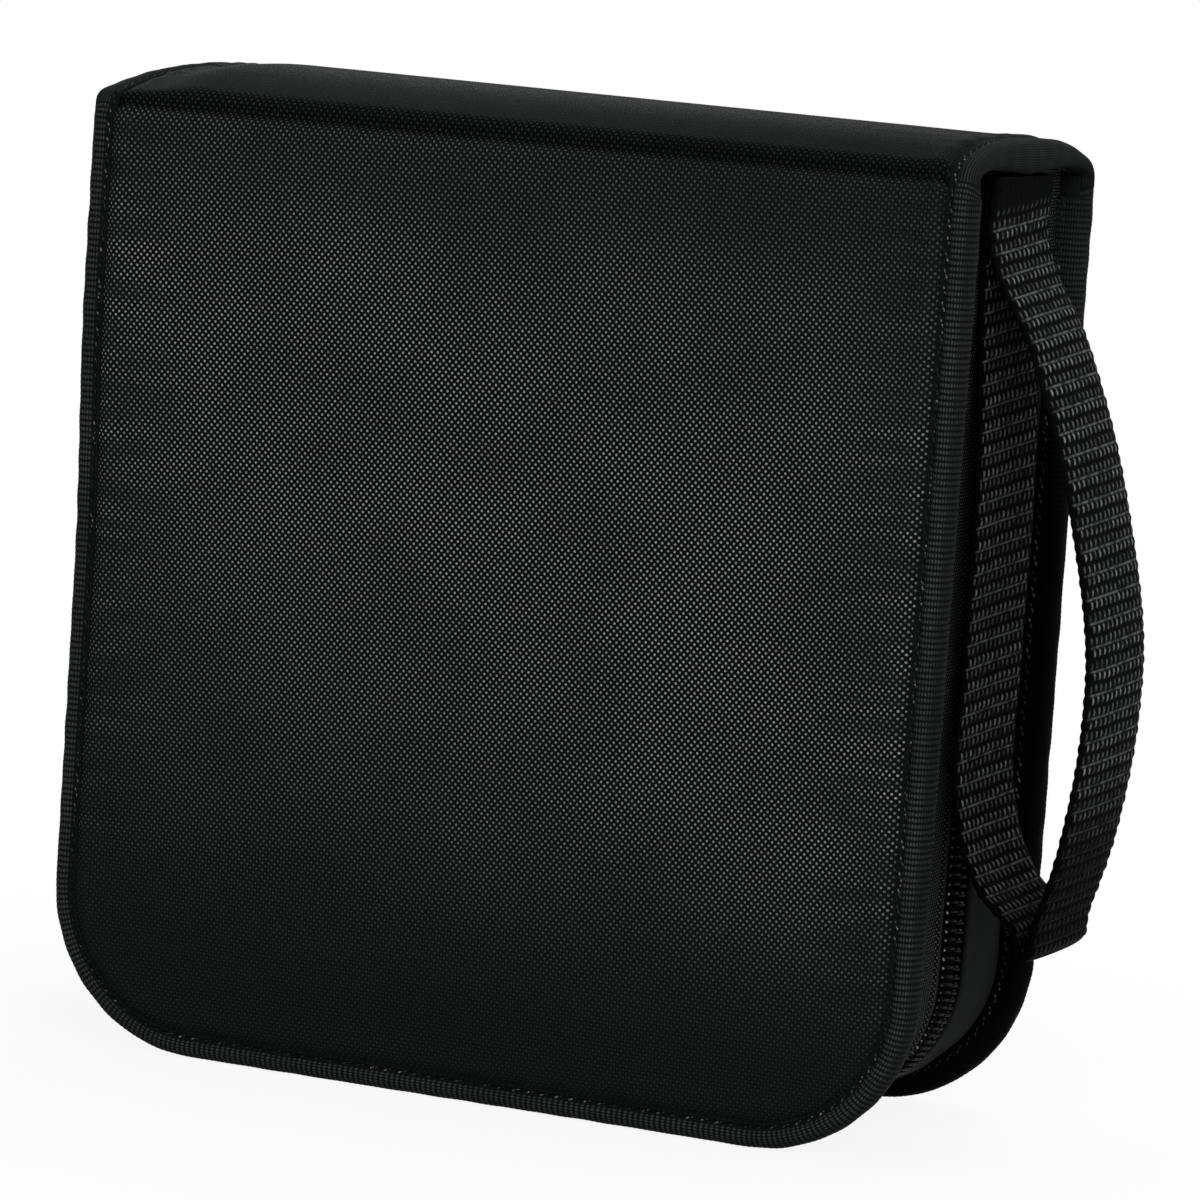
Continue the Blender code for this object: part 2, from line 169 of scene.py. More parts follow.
class StrapSizes(bpy.types.PropertyGroup):
    thickness: size("Thickness", "Thickness of the webbing", 0.0013)
    row_pitch: size("Row Pitch", "Distance from one weft row to the next", 0.0020)
    warp_pitch: size("Warp Pitch", "Half the distance between the crowns in a row", 0.001075)
    relief: size("Relief", "Height of the weave's relief", 0.00026)
    skew: bpy.props.FloatProperty(name="Skew", description="Slope of the weft rows near the sewn ends",
                                  default=0.085)
    dark: colour("Shaded Yarn", "Colour between the warp crowns", (0.0013, 0.0015, 0.0014))
    bright: colour("Yarn Crown", "Colour on the warp crowns", (0.215, 0.228, 0.222))


class InsideSizes(bpy.types.PropertyGroup):
    edge: size("Edge", "Distance of a cover's lining in from the outline", 0.0016)
    depth: size("Depth", "Distance of a cover's lining in from the cover's face", 0.0062)
    thickness: size("Thickness", "Thickness of the linings", 0.0005)
    dark: colour("Shaded Thread", "Colour between the linings' threads", (0.0050, 0.0052, 0.0055))
    bright: colour("Thread Crown", "Colour on the linings' threads", (0.026, 0.027, 0.028))
    # Near black as painted shade; the real boards are grey-brown
    shaded_board_tint: colour("Board", "Colour of the stiffener boards", (0.0060, 0.0060, 0.0060))


class SleeveSizes(bpy.types.PropertyGroup):
    leaf_count: bpy.props.IntProperty(name="Leaves", description="Number of leaves", default=20,
                                      min=1, max=60)
    corner_radius: size("Corner Radius", "Radius of a leaf's lower corners", 0.0080)
    seam: size("Seam", "Width of the weld round a pocket", 0.0010)
    mouth_drop: size("Mouth Drop", "Distance of the pockets' mouths below the strip", 0.0095)
    notch_radius: size("Thumb Notch", "Radius of the notch in a pocket's mouth", 0.0140)
    leaf_thickness: size("Leaf Thickness", "Thickness of a leaf's cloth", 0.0002)
    strip_thickness: size("Strip Thickness", "Thickness of the strip", 0.0004)
    dark: colour("Shaded Thread", "Colour between the leaves' threads", (0.060, 0.061, 0.064))
    bright: colour("Thread Crown", "Colour on the leaves' threads", (0.095, 0.096, 0.100))
    film_tint: colour("Film", "Colour of the clear pockets", (0.55, 0.56, 0.58))
    film_alpha: bpy.props.FloatProperty(name="Film Alpha", description="How much the pockets hide",
                                        default=0.34, min=0.0, max=1.0)


def point_in_space(name, description, default):
    return bpy.props.FloatVectorProperty(name=name, description=description, default=default,
                                         subtype="XYZ", unit="LENGTH")


class StageSettings(bpy.types.PropertyGroup):
    target: point_in_space("Camera Target", "Point in the middle of the picture",
                           (-0.001212, -0.0060, 0.086056))
    azimuth: bpy.props.FloatProperty(name="Azimuth", description="Camera's way round the case",
                                     default=math.radians(23.812), subtype="ANGLE")
    elevation: bpy.props.FloatProperty(name="Elevation", description="Camera's height",
                                       default=math.radians(6.808), subtype="ANGLE")
    roll: bpy.props.FloatProperty(name="Roll", description="Tilt of the camera on its own axis",
                                  default=math.radians(3.935), subtype="ANGLE")
    distance: size("Distance", "Distance from the camera to its target", 1.020)
    lens: bpy.props.FloatProperty(name="Lens", description="Focal length in millimetres",
                                  default=177.2, min=1.0)
    floor_colour: colour("Floor", "Colour of the floor", (0.86, 0.86, 0.86))
    floor_width: size("Floor Width", "Half of the floor's width", 6.0)
    fill: bpy.props.FloatProperty(name="Fill", description="Strength of the light from all round",
                                  default=0.45, min=0.0)
    key: bpy.props.FloatProperty(name="Key", description="Power of the main lamp in watts",
                                 default=11.0, min=0.0)
    key_place: point_in_space("Key Place", "Place of the main lamp", (0.75, -1.10, 0.95))
    top: bpy.props.FloatProperty(name="Top", description="Power of the lamp above in watts",
                                 default=5.0, min=0.0)
    top_place: point_in_space("Top Place", "Place of the lamp above", (0.15, 0.35, 1.15))
    lamp_width: size("Lamp Width", "Width of each lamp", 0.8)


class Route:
    """A line through close points, resampled evenly and read by the distance along it."""

    def __init__(self, points, step=0.00005, reach=8):
        line = np.array(points, float)
        marks = np.append(0.0, np.cumsum(np.linalg.norm(np.diff(line, axis=0), axis=1)))
        self.length = float(marks[-1])
        index = np.arange(round(self.length / step) + 1)
        self.marks = index * self.length / index[-1]
        self.places = np.array([np.interp(self.marks, marks, column) for column in line.T])
        ahead = self.places[:, np.minimum(index + reach, index[-1])]
        ways = ahead - self.places[:, np.maximum(index - reach, 0)]
        self.ways = ways / np.linalg.norm(ways, axis=0)

    def at(self, mark):
        return [np.interp(mark, self.marks, column) for column in self.places]

    def way(self, mark):
        return [np.interp(mark, self.marks, column) for column in self.ways]


def bezier_chain(knots, steps):
    """Points along a chain of flat Bezier knots, each given as handle, knot, handle."""
    points = []
    for start, end in zip(knots, knots[1:]):
        corners = [Vector((*corner, 0.0)) for corner in (start[1], start[2], end[0], end[1])]
        run = interpolate_bezier(*corners, steps)
        points += [tuple(point[:2]) for point in run[:-1]]
    return points + [knots[-1][1]]


def rounded(points, rounds=2):
    """Corner-cut copy of an open line, with its ends kept."""
    line = [np.array(point, float) for point in points]
    for _ in range(rounds):
        cut = [line[0]]
        for near, far in zip(line, line[1:]):
            cut += [near * 0.75 + far * 0.25, near * 0.25 + far * 0.75]
        line = cut + [line[-1]]
    return line


def smooth_step(value, low, high):
    share = np.clip((value - low) / (high - low), 0.0, 1.0)
    return share * share * (3.0 - 2.0 * share)


def wave(x, y, grain, seed=0.0):
    """Smooth, uneven rise and fall of about a half either way, the same at every run."""
    total = 0.0
    for turn in range(6):
        heading = 1.7 * seed + 2.4 * turn
        pace = 2 * math.pi / grain * (0.55 + 0.17 * turn)
        run = x * math.cos(heading) + y * math.sin(heading)
        total = total + np.sin(run * pace + 1.9 * turn + 5.0 * seed)
    return total / 6


def make_section():
    """Outer cloth across the case: distance out from the middle, and height, from foot to top."""
    out = half_depth
    top = crease_z
    knots = [
        (None, (out, top - 0.0040), (out, top - 0.0017)),
        ((out - 0.0013, top - 0.0006), (out - 0.0015, top + 0.0001), (out - 0.0016, top + 0.0008)),
        ((out - 0.0021, top + 0.0021), (out - 0.0045, top + 0.0029), (out - 0.0120, top + 0.0057)),
        ((out - 0.0190, top + 0.0060), (0.0, top + 0.0060), None),
    ]
    return Route([(out, 0.0)] + bezier_chain(knots, 24))


section = make_section()
crease_mark = crease_z
# How thick the edge inside the tape is, by the distance up: cover, pinched crease, spine and crown
edge_marks = (0.0, crease_z - 0.0018, crease_z + 0.0004, crease_z + 0.0045, crease_z + 0.0205,
              section.length)
edge_depths = (0.0070, 0.0070, 0.0028, 0.0032, 0.0054, 0.0062)


def lean(across, height, back):
    """How far the case's upper left end stands out and up from a square one, and droops at its edge.

    The droop is deepest at the front and ends towards the back."""
    stand_out, rise_left, crown_all, crown_left = 0.0013, 0.0009, 0.0002, 0.0015
    droop_middle, droop_slope = 0.0019, 0.0021
    droop_side, lean_height = (half_width - 0.022, half_width - 0.004), (0.085, 0.135)
    rise_height, crown_height = (0.100, crease_z), (crease_z, crease_z + 0.0062)
    left = np.clip(0.5 - across / (2 * half_width), 0.0, 1.0)
    droop = np.maximum(droop_middle - droop_slope * back / half_depth, 0.0)
    droop = droop * smooth_step(-across, *droop_side)
    out = stand_out * left ** 2 * smooth_step(height, *lean_height)
    rise = rise_left * left * smooth_step(height, *rise_height)
    crown = crown_all + crown_left * left - droop
    return -out, rise + crown * smooth_step(height, *crown_height)


def fold(side, across, up, depth=0.0):
    """Point on the laid-out cloth, folded into place. Depth runs inward from the outer face."""
    out, height = section.at(up)
    way_out, way_up = section.way(up)
    height = height + depth * way_out
    lean_out, lean_up = lean(across, height, side * out)
    point = (case_x + across + lean_out, side * (out - depth * way_up), height + lean_up)
    return np.stack(np.broadcast_arrays(*point), axis=-1)


def rim(mark, radius):
    """Outline point on the laid-out cloth and the way in from it, by distance from the foot's middle."""
    flat = half_width - radius
    run = np.abs(mark)
    turn = np.clip((run - flat) / radius, 0.0, math.pi / 2)
    rise = np.maximum(run - flat - radius * math.pi / 2, 0.0)
    side = np.sign(mark)
    across = side * (np.minimum(run, flat) + radius * np.sin(turn))
    return across, radius * (1.0 - np.cos(turn)) + rise, -side * np.sin(turn), np.cos(turn)


def rim_length(radius, top):
    """Half of the outline's length, from the foot's middle up one side to a height."""
    return half_width - radius + radius * math.pi / 2 + top - radius


def edge_distance(across, up, radius):
    """Distance of a point on the laid-out cloth from the outline."""
    side = half_width - np.abs(across)
    cornered = radius - np.hypot(radius - side, radius - up)
    return np.where((side < radius) & (up < radius), cornered, np.minimum(side, up))


def round_corner(across, up, half, foot, radius):
    """Move points of a square-cornered panel so that the panel's lower corners are round."""
    share_across = 1.0 - (half - np.abs(across)) / radius
    share_up = 1.0 - (up - foot) / radius
    corner = (share_across > 0.0) & (share_up > 0.0)
    share_across, share_up = share_across.clip(0.0, 1.0), share_up.clip(0.0, 1.0)
    bent_across = half - radius + radius * share_across * np.sqrt(1.0 - share_up ** 2 / 2)
    bent_up = foot + radius - radius * share_up * np.sqrt(1.0 - share_across ** 2 / 2)
    return (np.where(corner, np.sign(across) * bent_across, across),
            np.where(corner, bent_up, up))


def mesh_from(name, shape):
    mesh = bpy.data.meshes.new(name)
    shape.to_mesh(mesh)
    shape.free()
    return mesh


def add_object(name, data):
    made = bpy.data.objects.new(name, data)
    bpy.context.scene.collection.objects.link(made)
    return made


def finish_piece(name, shape, look):
    """Mesh object at the origin, smooth, with its finish."""
    mesh = mesh_from(name, shape)
    mesh.shade_smooth()
    mesh.materials.append(look)
    piece = add_object(name, mesh)
    return piece


def shaped_grid(columns, rows, place, shape=None):
    """Grid whose points are put in place by their shares across and along it, with cloth coordinates."""
    shape = shape or bmesh.new()
    flat = shape.loops.layers.uv.get("cloth") or shape.loops.layers.uv.new("cloth")
    verts = bmesh.ops.create_grid(shape, x_segments=columns, y_segments=rows, size=0.5)["verts"]
    shares = np.array([vert.co[:2] for vert in verts]) + 0.5
    points, laid = place(shares[:, 0], shares[:, 1])
    for vert, point in zip(verts, points.tolist()):
        vert.co = point
    laid = dict(zip(verts, np.stack(np.broadcast_arrays(*laid), axis=-1).tolist()))
    for face in {face for vert in verts for face in vert.link_faces}:
        for loop in face.loops:
            loop[flat].uv = laid[loop.vert]
    return shape


def thicken(piece, thickness):
    step = piece.modifiers.new("Thickness", "SOLIDIFY")
    step.thickness = thickness
    step.offset = -1.0


def make_bead():
    """Ball with few faces, the form that every loop of thread is stretched from."""
    shape = bmesh.new()
    bmesh.ops.create_uvsphere(shape, u_segments=6, v_segments=5, radius=1.0)
    return mesh_from("bead", shape)


def add_copy(shape, form, matrix):
    placed = form.copy()
    placed.transform(matrix)
    shape.from_mesh(placed)
    bpy.data.meshes.remove(placed)


def stretched(start, end, radius):
    """Matrix that stretches a ball to a length of thread between two points."""
    start, end = Vector(start), Vector(end)
    run = end - start
    turn = run.to_track_quat("Z", "Y").to_matrix().to_4x4()
    shrink = Matrix.Diagonal((radius, radius, run.length / 2, 1.0))
    return Matrix.Translation((start + end) / 2) @ turn @ shrink


def bend_with_spine(piece):
    """Bake a piece's transform into its mesh, leaving it at the origin."""
    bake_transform(piece)


def new_look(name):
    look = bpy.data.materials.new(name)
    look.use_nodes = True
    return look, look.node_tree, look.node_tree.nodes["Principled BSDF"]


def add_node(tree, kind, *values, output=0, **settings):
    """Shader node with its settings made and its inputs set or linked in order."""
    node = tree.nodes.new(kind)
    for key, value in settings.items():
        setattr(node, key, value)
    for socket, value in zip(node.inputs, values):
        if isinstance(value, bpy.types.NodeSocket):
            tree.links.new(value, socket)
        elif value is not None:
            socket.default_value = value
    return node.outputs[output]


def calc(tree, operation, *values):
    return add_node(tree, "ShaderNodeMath", *values, operation=operation)


def ramp(tree, value, low, high, low_to=0.0, high_to=1.0):
    return add_node(tree, "ShaderNodeMapRange", value, low, high, low_to, high_to,
                    interpolation_type="SMOOTHSTEP")


def product(tree, first, *others):
    for value in others:
        first = calc(tree, "MULTIPLY", first, value)
    return first


def noise(tree, place, scale, detail):
    return add_node(tree, "ShaderNodeTexNoise", place, None, scale, detail)


def scaled(tint, factor):
    return tuple(part * factor for part in tint)


def blend_colour(tree, factor, first, second):
    mix = tree.nodes.new("ShaderNodeMix")
    mix.data_type = "RGBA"
    for key, value in (("Factor_Float", factor), ("A_Color", first), ("B_Color", second)):
        socket = next(item for item in mix.inputs if item.identifier == key)
        if isinstance(value, bpy.types.NodeSocket):
            tree.links.new(value, socket)
        elif key == "Factor_Float":
            socket.default_value = value
        else:
            socket.default_value = (*value[:3], 1.0)
    return next(item for item in mix.outputs if item.identifier == "Result_Color")


def shared_group(name, values, build):
    """Node group made once: a place and plain values go in, and the masks that build makes come out."""
    if name in bpy.data.node_groups:
        return bpy.data.node_groups[name]
    group = bpy.data.node_groups.new(name, "ShaderNodeTree")
    group.interface.new_socket("Place", in_out="INPUT", socket_type="NodeSocketVector")
    for key, default in values.items():
        socket = group.interface.new_socket(key, in_out="INPUT", socket_type="NodeSocketFloat")
        socket.default_value = default
    masks = build(group, group.nodes.new("NodeGroupInput").outputs)
    for key in masks:
        group.interface.new_socket(key, in_out="OUTPUT", socket_type="NodeSocketFloat")
    made = group.nodes.new("NodeGroupOutput").inputs
    for key, mask in masks.items():
        group.links.new(mask, made[key])
    return group


def place_group(tree, group, **values):
    node = tree.nodes.new("ShaderNodeGroup")
    node.node_tree = group
    for key, value in values.items():
        socket = node.inputs[key.replace("_", " ")]
        if isinstance(value, bpy.types.NodeSocket):
            tree.links.new(value, socket)
        else:
            socket.default_value = value
    return node.outputs


def split_place(tree, place):
    """How far across and how far along a place on laid-out cloth is."""
    parts = tree.nodes.new("ShaderNodeSeparateXYZ")
    tree.links.new(place, parts.inputs[0])
    return parts.outputs[0], parts.outputs[1]


def woven_group(weave):
    """Group shared by the finishes of one weave: relief, worn and fuzzy crowns, and fibres."""
    drift_scale, fibre_scale, patch_scale = 160.0, 2600.0, 38.0

    def build(group, given):
        place = given["Place"]
        drift = calc(group, "SUBTRACT", noise(group, place, drift_scale, 2.0), 0.5)
        shift = calc(group, "MULTIPLY", drift, given["Slub"])
        waves = []
        for part, width in zip(split_place(group, place), (given["Across"], given["Along"])):
            turns = calc(group, "ADD", calc(group, "DIVIDE", part, width), shift)
            waves.append(calc(group, "SINE", calc(group, "MULTIPLY", turns, math.pi)))
        height, crown = weave(group, *waves)
        fibre = noise(group, place, fibre_scale, 3.0)
        worn = ramp(group, noise(group, place, patch_scale, 3.0), 0.28, 0.66, 0.70, 1.05)
        fuzz = ramp(group, fibre, 0.30, 0.66, 0.50, 1.20)
        crown = calc(group, "MINIMUM", product(group, crown, worn, fuzz), 1.0)
        return {"Height": height, "Crown": crown, "Fibre": fibre}

    return shared_group(weave.__name__.replace("_", " ").title(),
                        {"Across": 0.0005, "Along": 0.0005, "Slub": 0.15}, build)


def plain_weave(group, across, along):
    """Threads that pass over each other in turn; the crowns are those of one set."""
    checks = calc(group, "MULTIPLY", across, along)
    height = calc(group, "SQRT", calc(group, "ABSOLUTE", checks))
    return height, ramp(group, checks, 0.24, 0.88)


def ribbed_weave(group, across, along):
    """Ribs that run across, each made of a row of yarns."""
    rib = calc(group, "ABSOLUTE", along)
    yarn = calc(group, "MULTIPLY_ADD", calc(group, "ABSOLUTE", across), 0.75, 0.25)
    height = calc(group, "MULTIPLY", rib, yarn)
    return height, ramp(group, height, 0.22, 1.05)


def webbing_weave(group, across, along):
    """Heavy double rows of yarn, every second row paler."""
    rib = calc(group, "ABSOLUTE", along)
    row = calc(group, "MULTIPLY_ADD", ramp(group, along, -0.2, 0.2), 0.45, 0.55)
    yarn = calc(group, "MULTIPLY", across, calc(group, "SIGN", along))
    yarn = ramp(group, yarn, 0.10, 0.95)
    height = calc(group, "MULTIPLY", rib, calc(group, "MULTIPLY_ADD", yarn, 0.4, 0.6))
    crown = calc(group, "MULTIPLY", ramp(group, rib, 0.36, 0.95), calc(group, "MULTIPLY", yarn, row))
    return height, crown


def cloth_place(tree):
    return tree.nodes.new("ShaderNodeUVMap").outputs["UV"]


def bump(tree, height, distance, strength=1.0, normal=None):
    return add_node(tree, "ShaderNodeBump", strength, distance, None, height, normal)


def cloth_look(name, weave, dark, bright, across, along, relief, roughness,
               shade=None, slub=0.15, gloss=0.004):
    """Black woven cloth: dark between the threads, brighter and unevenly worn on their crowns."""
    look, tree, shader = new_look(name)
    woven = place_group(tree, woven_group(weave), Place=cloth_place(tree), Across=across,
                        Along=along, Slub=slub)
    if shade:
        dark, bright = shade(tree)
    tree.links.new(blend_colour(tree, woven["Crown"], dark, bright), shader.inputs["Base Color"])
    tree.links.new(ramp(tree, woven["Fibre"], 0.2, 0.8, roughness - 0.08, roughness + 0.08),
                   shader.inputs["Roughness"])
    tree.links.new(bump(tree, woven["Height"], relief), shader.inputs["Normal"])
    shader.inputs["Specular IOR Level"].default_value = gloss
    return look


def cover_shade(tree, sizes):
    """Dark and bright thread colours of the covers: a painted sheen in a slanted band, and painted
    grazing sheen on the plain spine.
    """
    band_height, band_slope, band_width = 0.105, 0.38, 0.070
    sheen_fade_foot, sheen_fade_head, head_sheen = (0.014, 0.056), (0.140, 0.157), 0.5
    sheen_fade_crease, crease_sheen = (crease_z - 0.0030, crease_z + 0.0005), 0.10
    streak_scale, streak_stretch = 290.0, (0.14, 1.0, 1.0)
    streak_grain, streak_sheen = (0.40, 0.66), (0.35, 1.12)
    beside_seams = (0.054, 0.078)
    crease_shade_height, crease_shade_fade = crease_z + 0.0012, (0.0014, 0.0030)
    spine_foot = (crease_z + 0.0030, crease_z + 0.0058)

    across, laid = split_place(tree, cloth_place(tree))
    past = calc(tree, "ABSOLUTE", calc(tree, "SUBTRACT", laid, section.length))
    up = calc(tree, "SUBTRACT", section.length, past)
    # Painted sheen on the covers: a slanted band, fading towards the foot, the head and the crease, and
    # streaky beside the side seams
    slanted = calc(tree, "MULTIPLY_ADD", across, band_slope, up)
    off = calc(tree, "DIVIDE", calc(tree, "SUBTRACT", slanted, band_height), band_width)
    band = calc(tree, "EXPONENT", product(tree, off, off, -1.0))
    drawn_out = add_node(tree, "ShaderNodeVectorMath", cloth_place(tree), streak_stretch,
                         operation="MULTIPLY")
    streaks = ramp(tree, noise(tree, drawn_out, streak_scale, 2.0), *streak_grain, *streak_sheen)
    beside = ramp(tree, calc(tree, "ABSOLUTE", across), *beside_seams)
    streaks = calc(tree, "MULTIPLY_ADD", calc(tree, "SUBTRACT", streaks, 1.0), beside, 1.0)
    painted_sheen = product(tree, band, ramp(tree, up, *sheen_fade_foot), ramp(tree, up, *sheen_fade_head, 1.0, head_sheen),
                     ramp(tree, up, *sheen_fade_crease, 1.0, crease_sheen), streaks)
    # Painted shade in a narrow strip along the crease
    crease_shade = ramp(tree, calc(tree, "ABSOLUTE", calc(tree, "SUBTRACT", up, crease_shade_height)),
                 *crease_shade_fade, 1.0, 0.0)
    # Outside the painted sheen the shade between the threads is paler
    dark = blend_colour(tree, painted_sheen, scaled(sizes.dark, 1.7), sizes.dark)
    dark = blend_colour(tree, crease_shade, dark, scaled(sizes.dark, 0.7))
    bright = blend_colour(tree, painted_sheen, sizes.dull, sizes.bright)
    # Spine: painted grazing sheen, darker towards the right end as painted shade
    right = ramp(tree, across, -0.5 * half_width, half_width)
    spine_sheen_and_shade = blend_colour(tree, right, sizes.top, scaled(sizes.top, 0.5))
    top = ramp(tree, up, *spine_foot)
    return blend_colour(tree, top, dark, spine_sheen_and_shade), blend_colour(tree, top, bright, spine_sheen_and_shade)


def grain_group():
    """Group shared by threads and by moulded and enamelled finishes: fine grain and broad patches."""
    def build(group, given):
        return {key: noise(group, given["Place"], given[key + " Scale"], given["Detail"])
                for key in ("Fine", "Broad")}

    return shared_group("Grain", {"Fine Scale": 900.0, "Broad Scale": 75.0, "Detail": 3.0}, build)


def thread_look(name, tint):
    """Twisted sewing thread, mostly sunk into the cloth, with painted highlights in places."""
    twist_lit, patch_lit, painted_highlight_gain = (0.42, 0.62), (0.47, 0.60), 11.0
    look, tree, shader = new_look(name)
    place = tree.nodes.new("ShaderNodeTexCoord").outputs["Object"]
    grain = place_group(tree, grain_group(), Place=place, Fine_Scale=2600.0, Broad_Scale=95.0,
                        Detail=2.0)
    painted_highlight = product(tree, ramp(tree, grain["Fine"], *twist_lit), ramp(tree, grain["Broad"], *patch_lit))
    # Painted highlights raise the thread's colour in places
    tree.links.new(blend_colour(tree, painted_highlight, tint, scaled(tint, painted_highlight_gain)), shader.inputs["Base Color"])
    tree.links.new(ramp(tree, grain["Fine"], 0.2, 0.8, 0.35, 0.55), shader.inputs["Roughness"])
    tree.links.new(bump(tree, grain["Fine"], 0.00005), shader.inputs["Normal"])
    shader.inputs["Specular IOR Level"].default_value = 0.03
    return look


def moulded_look(name, tint, roughness, scale=900.0, relief=0.00002, metallic=0.0, gloss=0.3):
    """Plain moulded or enamelled surface with fine grain and slightly worn, paler spots."""
    look, tree, shader = new_look(name)
    place = tree.nodes.new("ShaderNodeTexCoord").outputs["Object"]
    grain = place_group(tree, grain_group(), Place=place, Fine_Scale=scale, Broad_Scale=scale / 12,
                        Detail=3.0)
    paler = tuple(min(part * 1.8 + 0.004, 1.0) for part in tint)
    tree.links.new(blend_colour(tree, ramp(tree, grain["Broad"], 0.45, 0.75), tint, paler),
                   shader.inputs["Base Color"])
    tree.links.new(ramp(tree, grain["Fine"], 0.2, 0.8, roughness - 0.07, roughness + 0.1),
                   shader.inputs["Roughness"])
    tree.links.new(bump(tree, grain["Fine"], relief), shader.inputs["Normal"])
    shader.inputs["Metallic"].default_value = metallic
    shader.inputs["Specular IOR Level"].default_value = gloss
    return look


def repaint(node, look):
    """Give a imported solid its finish."""
    materials = frame["nodes"][node].data.materials
    materials.clear()
    materials.append(look)


class CASE_OT_outer_cloth(bpy.types.Operator):
    """Outer cloth of each cover with its padding, folded over the crease to the spine's top"""
    bl_idname = "disc_case.outer_cloth"
    bl_label = "Outer Cloth"

    def execute(self, context):
        sizes = context.scene.case_cover
        look = cloth_look("ballistic_nylon", plain_weave, sizes.dark, sizes.bright,
                          sizes.thread_across, sizes.thread_along, relief=0.00018, roughness=0.45,
                          shade=lambda tree: cover_shade(tree, sizes))
        edge, close_rows = 0.0012, 0.010
        half = half_width - edge
        radius = sizes.corner_radius - edge
        columns, rows = 140, 180
        spread_across = ((0.0, 0.1, 0.9, 1.0), (-half, close_rows - half, half - close_rows, half))
        spread_up = ((0.0, 0.08, 0.68, 0.88, 1.0), (edge, edge + close_rows, crease_mark - 0.005,
                                                    crease_mark + 0.004, section.length))
        for name, side in sides.items():
            def place(share_across, share_up, side=side):
                across = np.interp(share_across, *spread_across) * -side
                up = np.interp(share_up, *spread_up)
                across, up = round_corner(across, up, half, edge, radius)
                inset = edge_distance(across, up, sizes.corner_radius)
                depth = cloth_depth(across, up, inset, sizes, side)
                laid_up = up if side < 0 else 2 * section.length - up
                return fold(side, across, up, depth), (across, laid_up)
            piece = finish_piece(name + "_outer_cloth", shaped_grid(columns, rows, place), look)
            thicken(piece, sizes.cloth_thickness)
            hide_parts(name + "_cover_skin", "spine_skin")
            bend_with_spine(piece)
        return {"FINISHED"}


def cloth_depth(across, up, inset, sizes, side):
    """Depth of the outer cloth: crowned, with a ridge beside the tape and a dip under it."""
    tape_dip, ridge_inset, ridge_width = 0.0011, 0.0074, 0.0016
    seam_inset, seam_fade = 0.006, 0.009
    pucker_depth, pucker_grain = 0.0003, 0.0062
    broad_depth, broad_grain = 0.0004, 0.045
    groove_height, groove_width = crease_mark + 0.0003, 0.0010
    dip = tape_dip * (1.0 - smooth_step(inset, 0.0042, 0.0064))
    ridge = sizes.ridge * np.exp(-((inset - ridge_inset) / ridge_width) ** 2)
    share = np.minimum(up / crease_mark, 1.0)
    crown = sizes.crown * (1.0 - (across / half_width) ** 2) * np.sin(math.pi * share)
    near_seam = np.exp(-np.maximum(inset - seam_inset, 0.0) / seam_fade)
    side_seam = half_width - np.abs(across) < up
    pucker = pucker_depth * near_seam * wave(np.where(side_seam, 0.25, 1.0) * across,
                                             np.where(side_seam, 1.0, 0.25) * up, pucker_grain, side)
    calm = smooth_step(inset, 0.004, 0.02) * (1.0 - smooth_step(up, crease_mark - 0.012, crease_mark))
    broad = broad_depth * wave(across, up, broad_grain, side + 4.0) * calm
    groove = sizes.crease_depth * np.exp(-((up - groove_height) / groove_width) ** 2)
    return dip - ridge - crown + pucker - broad + groove


def tape_profile():
    """Section of the edge tape: distance in from the edge, and depth from the outer face."""
    return Route(rounded([
        (0.00490, 0.00150), (0.00484, 0.00075), (0.00455, 0.00038), (0.00420, 0.00042),
        (0.00395, 0.00105), (0.00360, 0.00112), (0.00325, 0.00050), (0.00270, 0.00022),
        (0.00200, 0.00026), (0.00115, 0.00062), (0.00045, 0.00150), (0.00008, 0.00260),
        (0.0, 0.00370), (0.00008, 0.00480), (0.00045, 0.00585), (0.00115, 0.00655),
        (0.00200, 0.00690), (0.00330, 0.00700), (0.00640, 0.00700), (0.00660, 0.00660)]), reach=3)


def edge_depth(up, depth):
    """Depth on the edge tape where the edge is thinner than a cover's, and raised over the spine."""
    strip, lift = 0.0005, 0.0003
    here = np.interp(up, edge_marks, edge_depths)
    thin = strip + (depth - strip) * (here - strip) / (edge_depths[0] - strip)
    raised = lift * smooth_step(up, crease_mark + 0.001, crease_mark + 0.006)
    return np.where(depth <= strip, depth, thin) - raised


def tape_group(radius):
    """Group shared by the edge tapes: their face between painted shade in the seam's groove and on the
    rounded edge, and a painted shadow low down on the case that Low Light sets.
    """
    face_start, face_end, inside_share = (0.0028, 0.0033), (0.0050, 0.0062), 0.45
    low, high = rim_length(radius, 0.100), rim_length(radius, 0.140)

    def build(group, given):
        across, along = split_place(group, given["Place"])
        # Painted shade in the seam's groove and on the rounded edge
        face = product(group, ramp(group, across, *face_start),
                       ramp(group, across, *face_end, 1.0, inside_share))
        return {"Face": face, "Shine": ramp(group, calc(group, "ABSOLUTE", along), low, high,
                                            given["Low Shine"], 1.0)}

    return shared_group("Tape Face", {"Low Shine": 1.0}, build)


def tape_shade(tree, sizes, radius, low_light):
    """Yarn colours of the edge tape: ribs show palest on its face, with painted shade in the seam's
    groove and on the rounded edge, and a painted shadow low down.
    """
    tape = place_group(tree, tape_group(radius), Place=cloth_place(tree), Low_Shine=low_light)
    # Painted shadow low down on the case
    painted_shadow_tint = scaled(sizes.dark, 0.4)
    bright = blend_colour(tree, tape["Face"], scaled(sizes.dark, 1.8), sizes.bright)
    return (blend_colour(tree, tape["Shine"], painted_shadow_tint, sizes.dark),
            blend_colour(tree, tape["Shine"], painted_shadow_tint, bright))


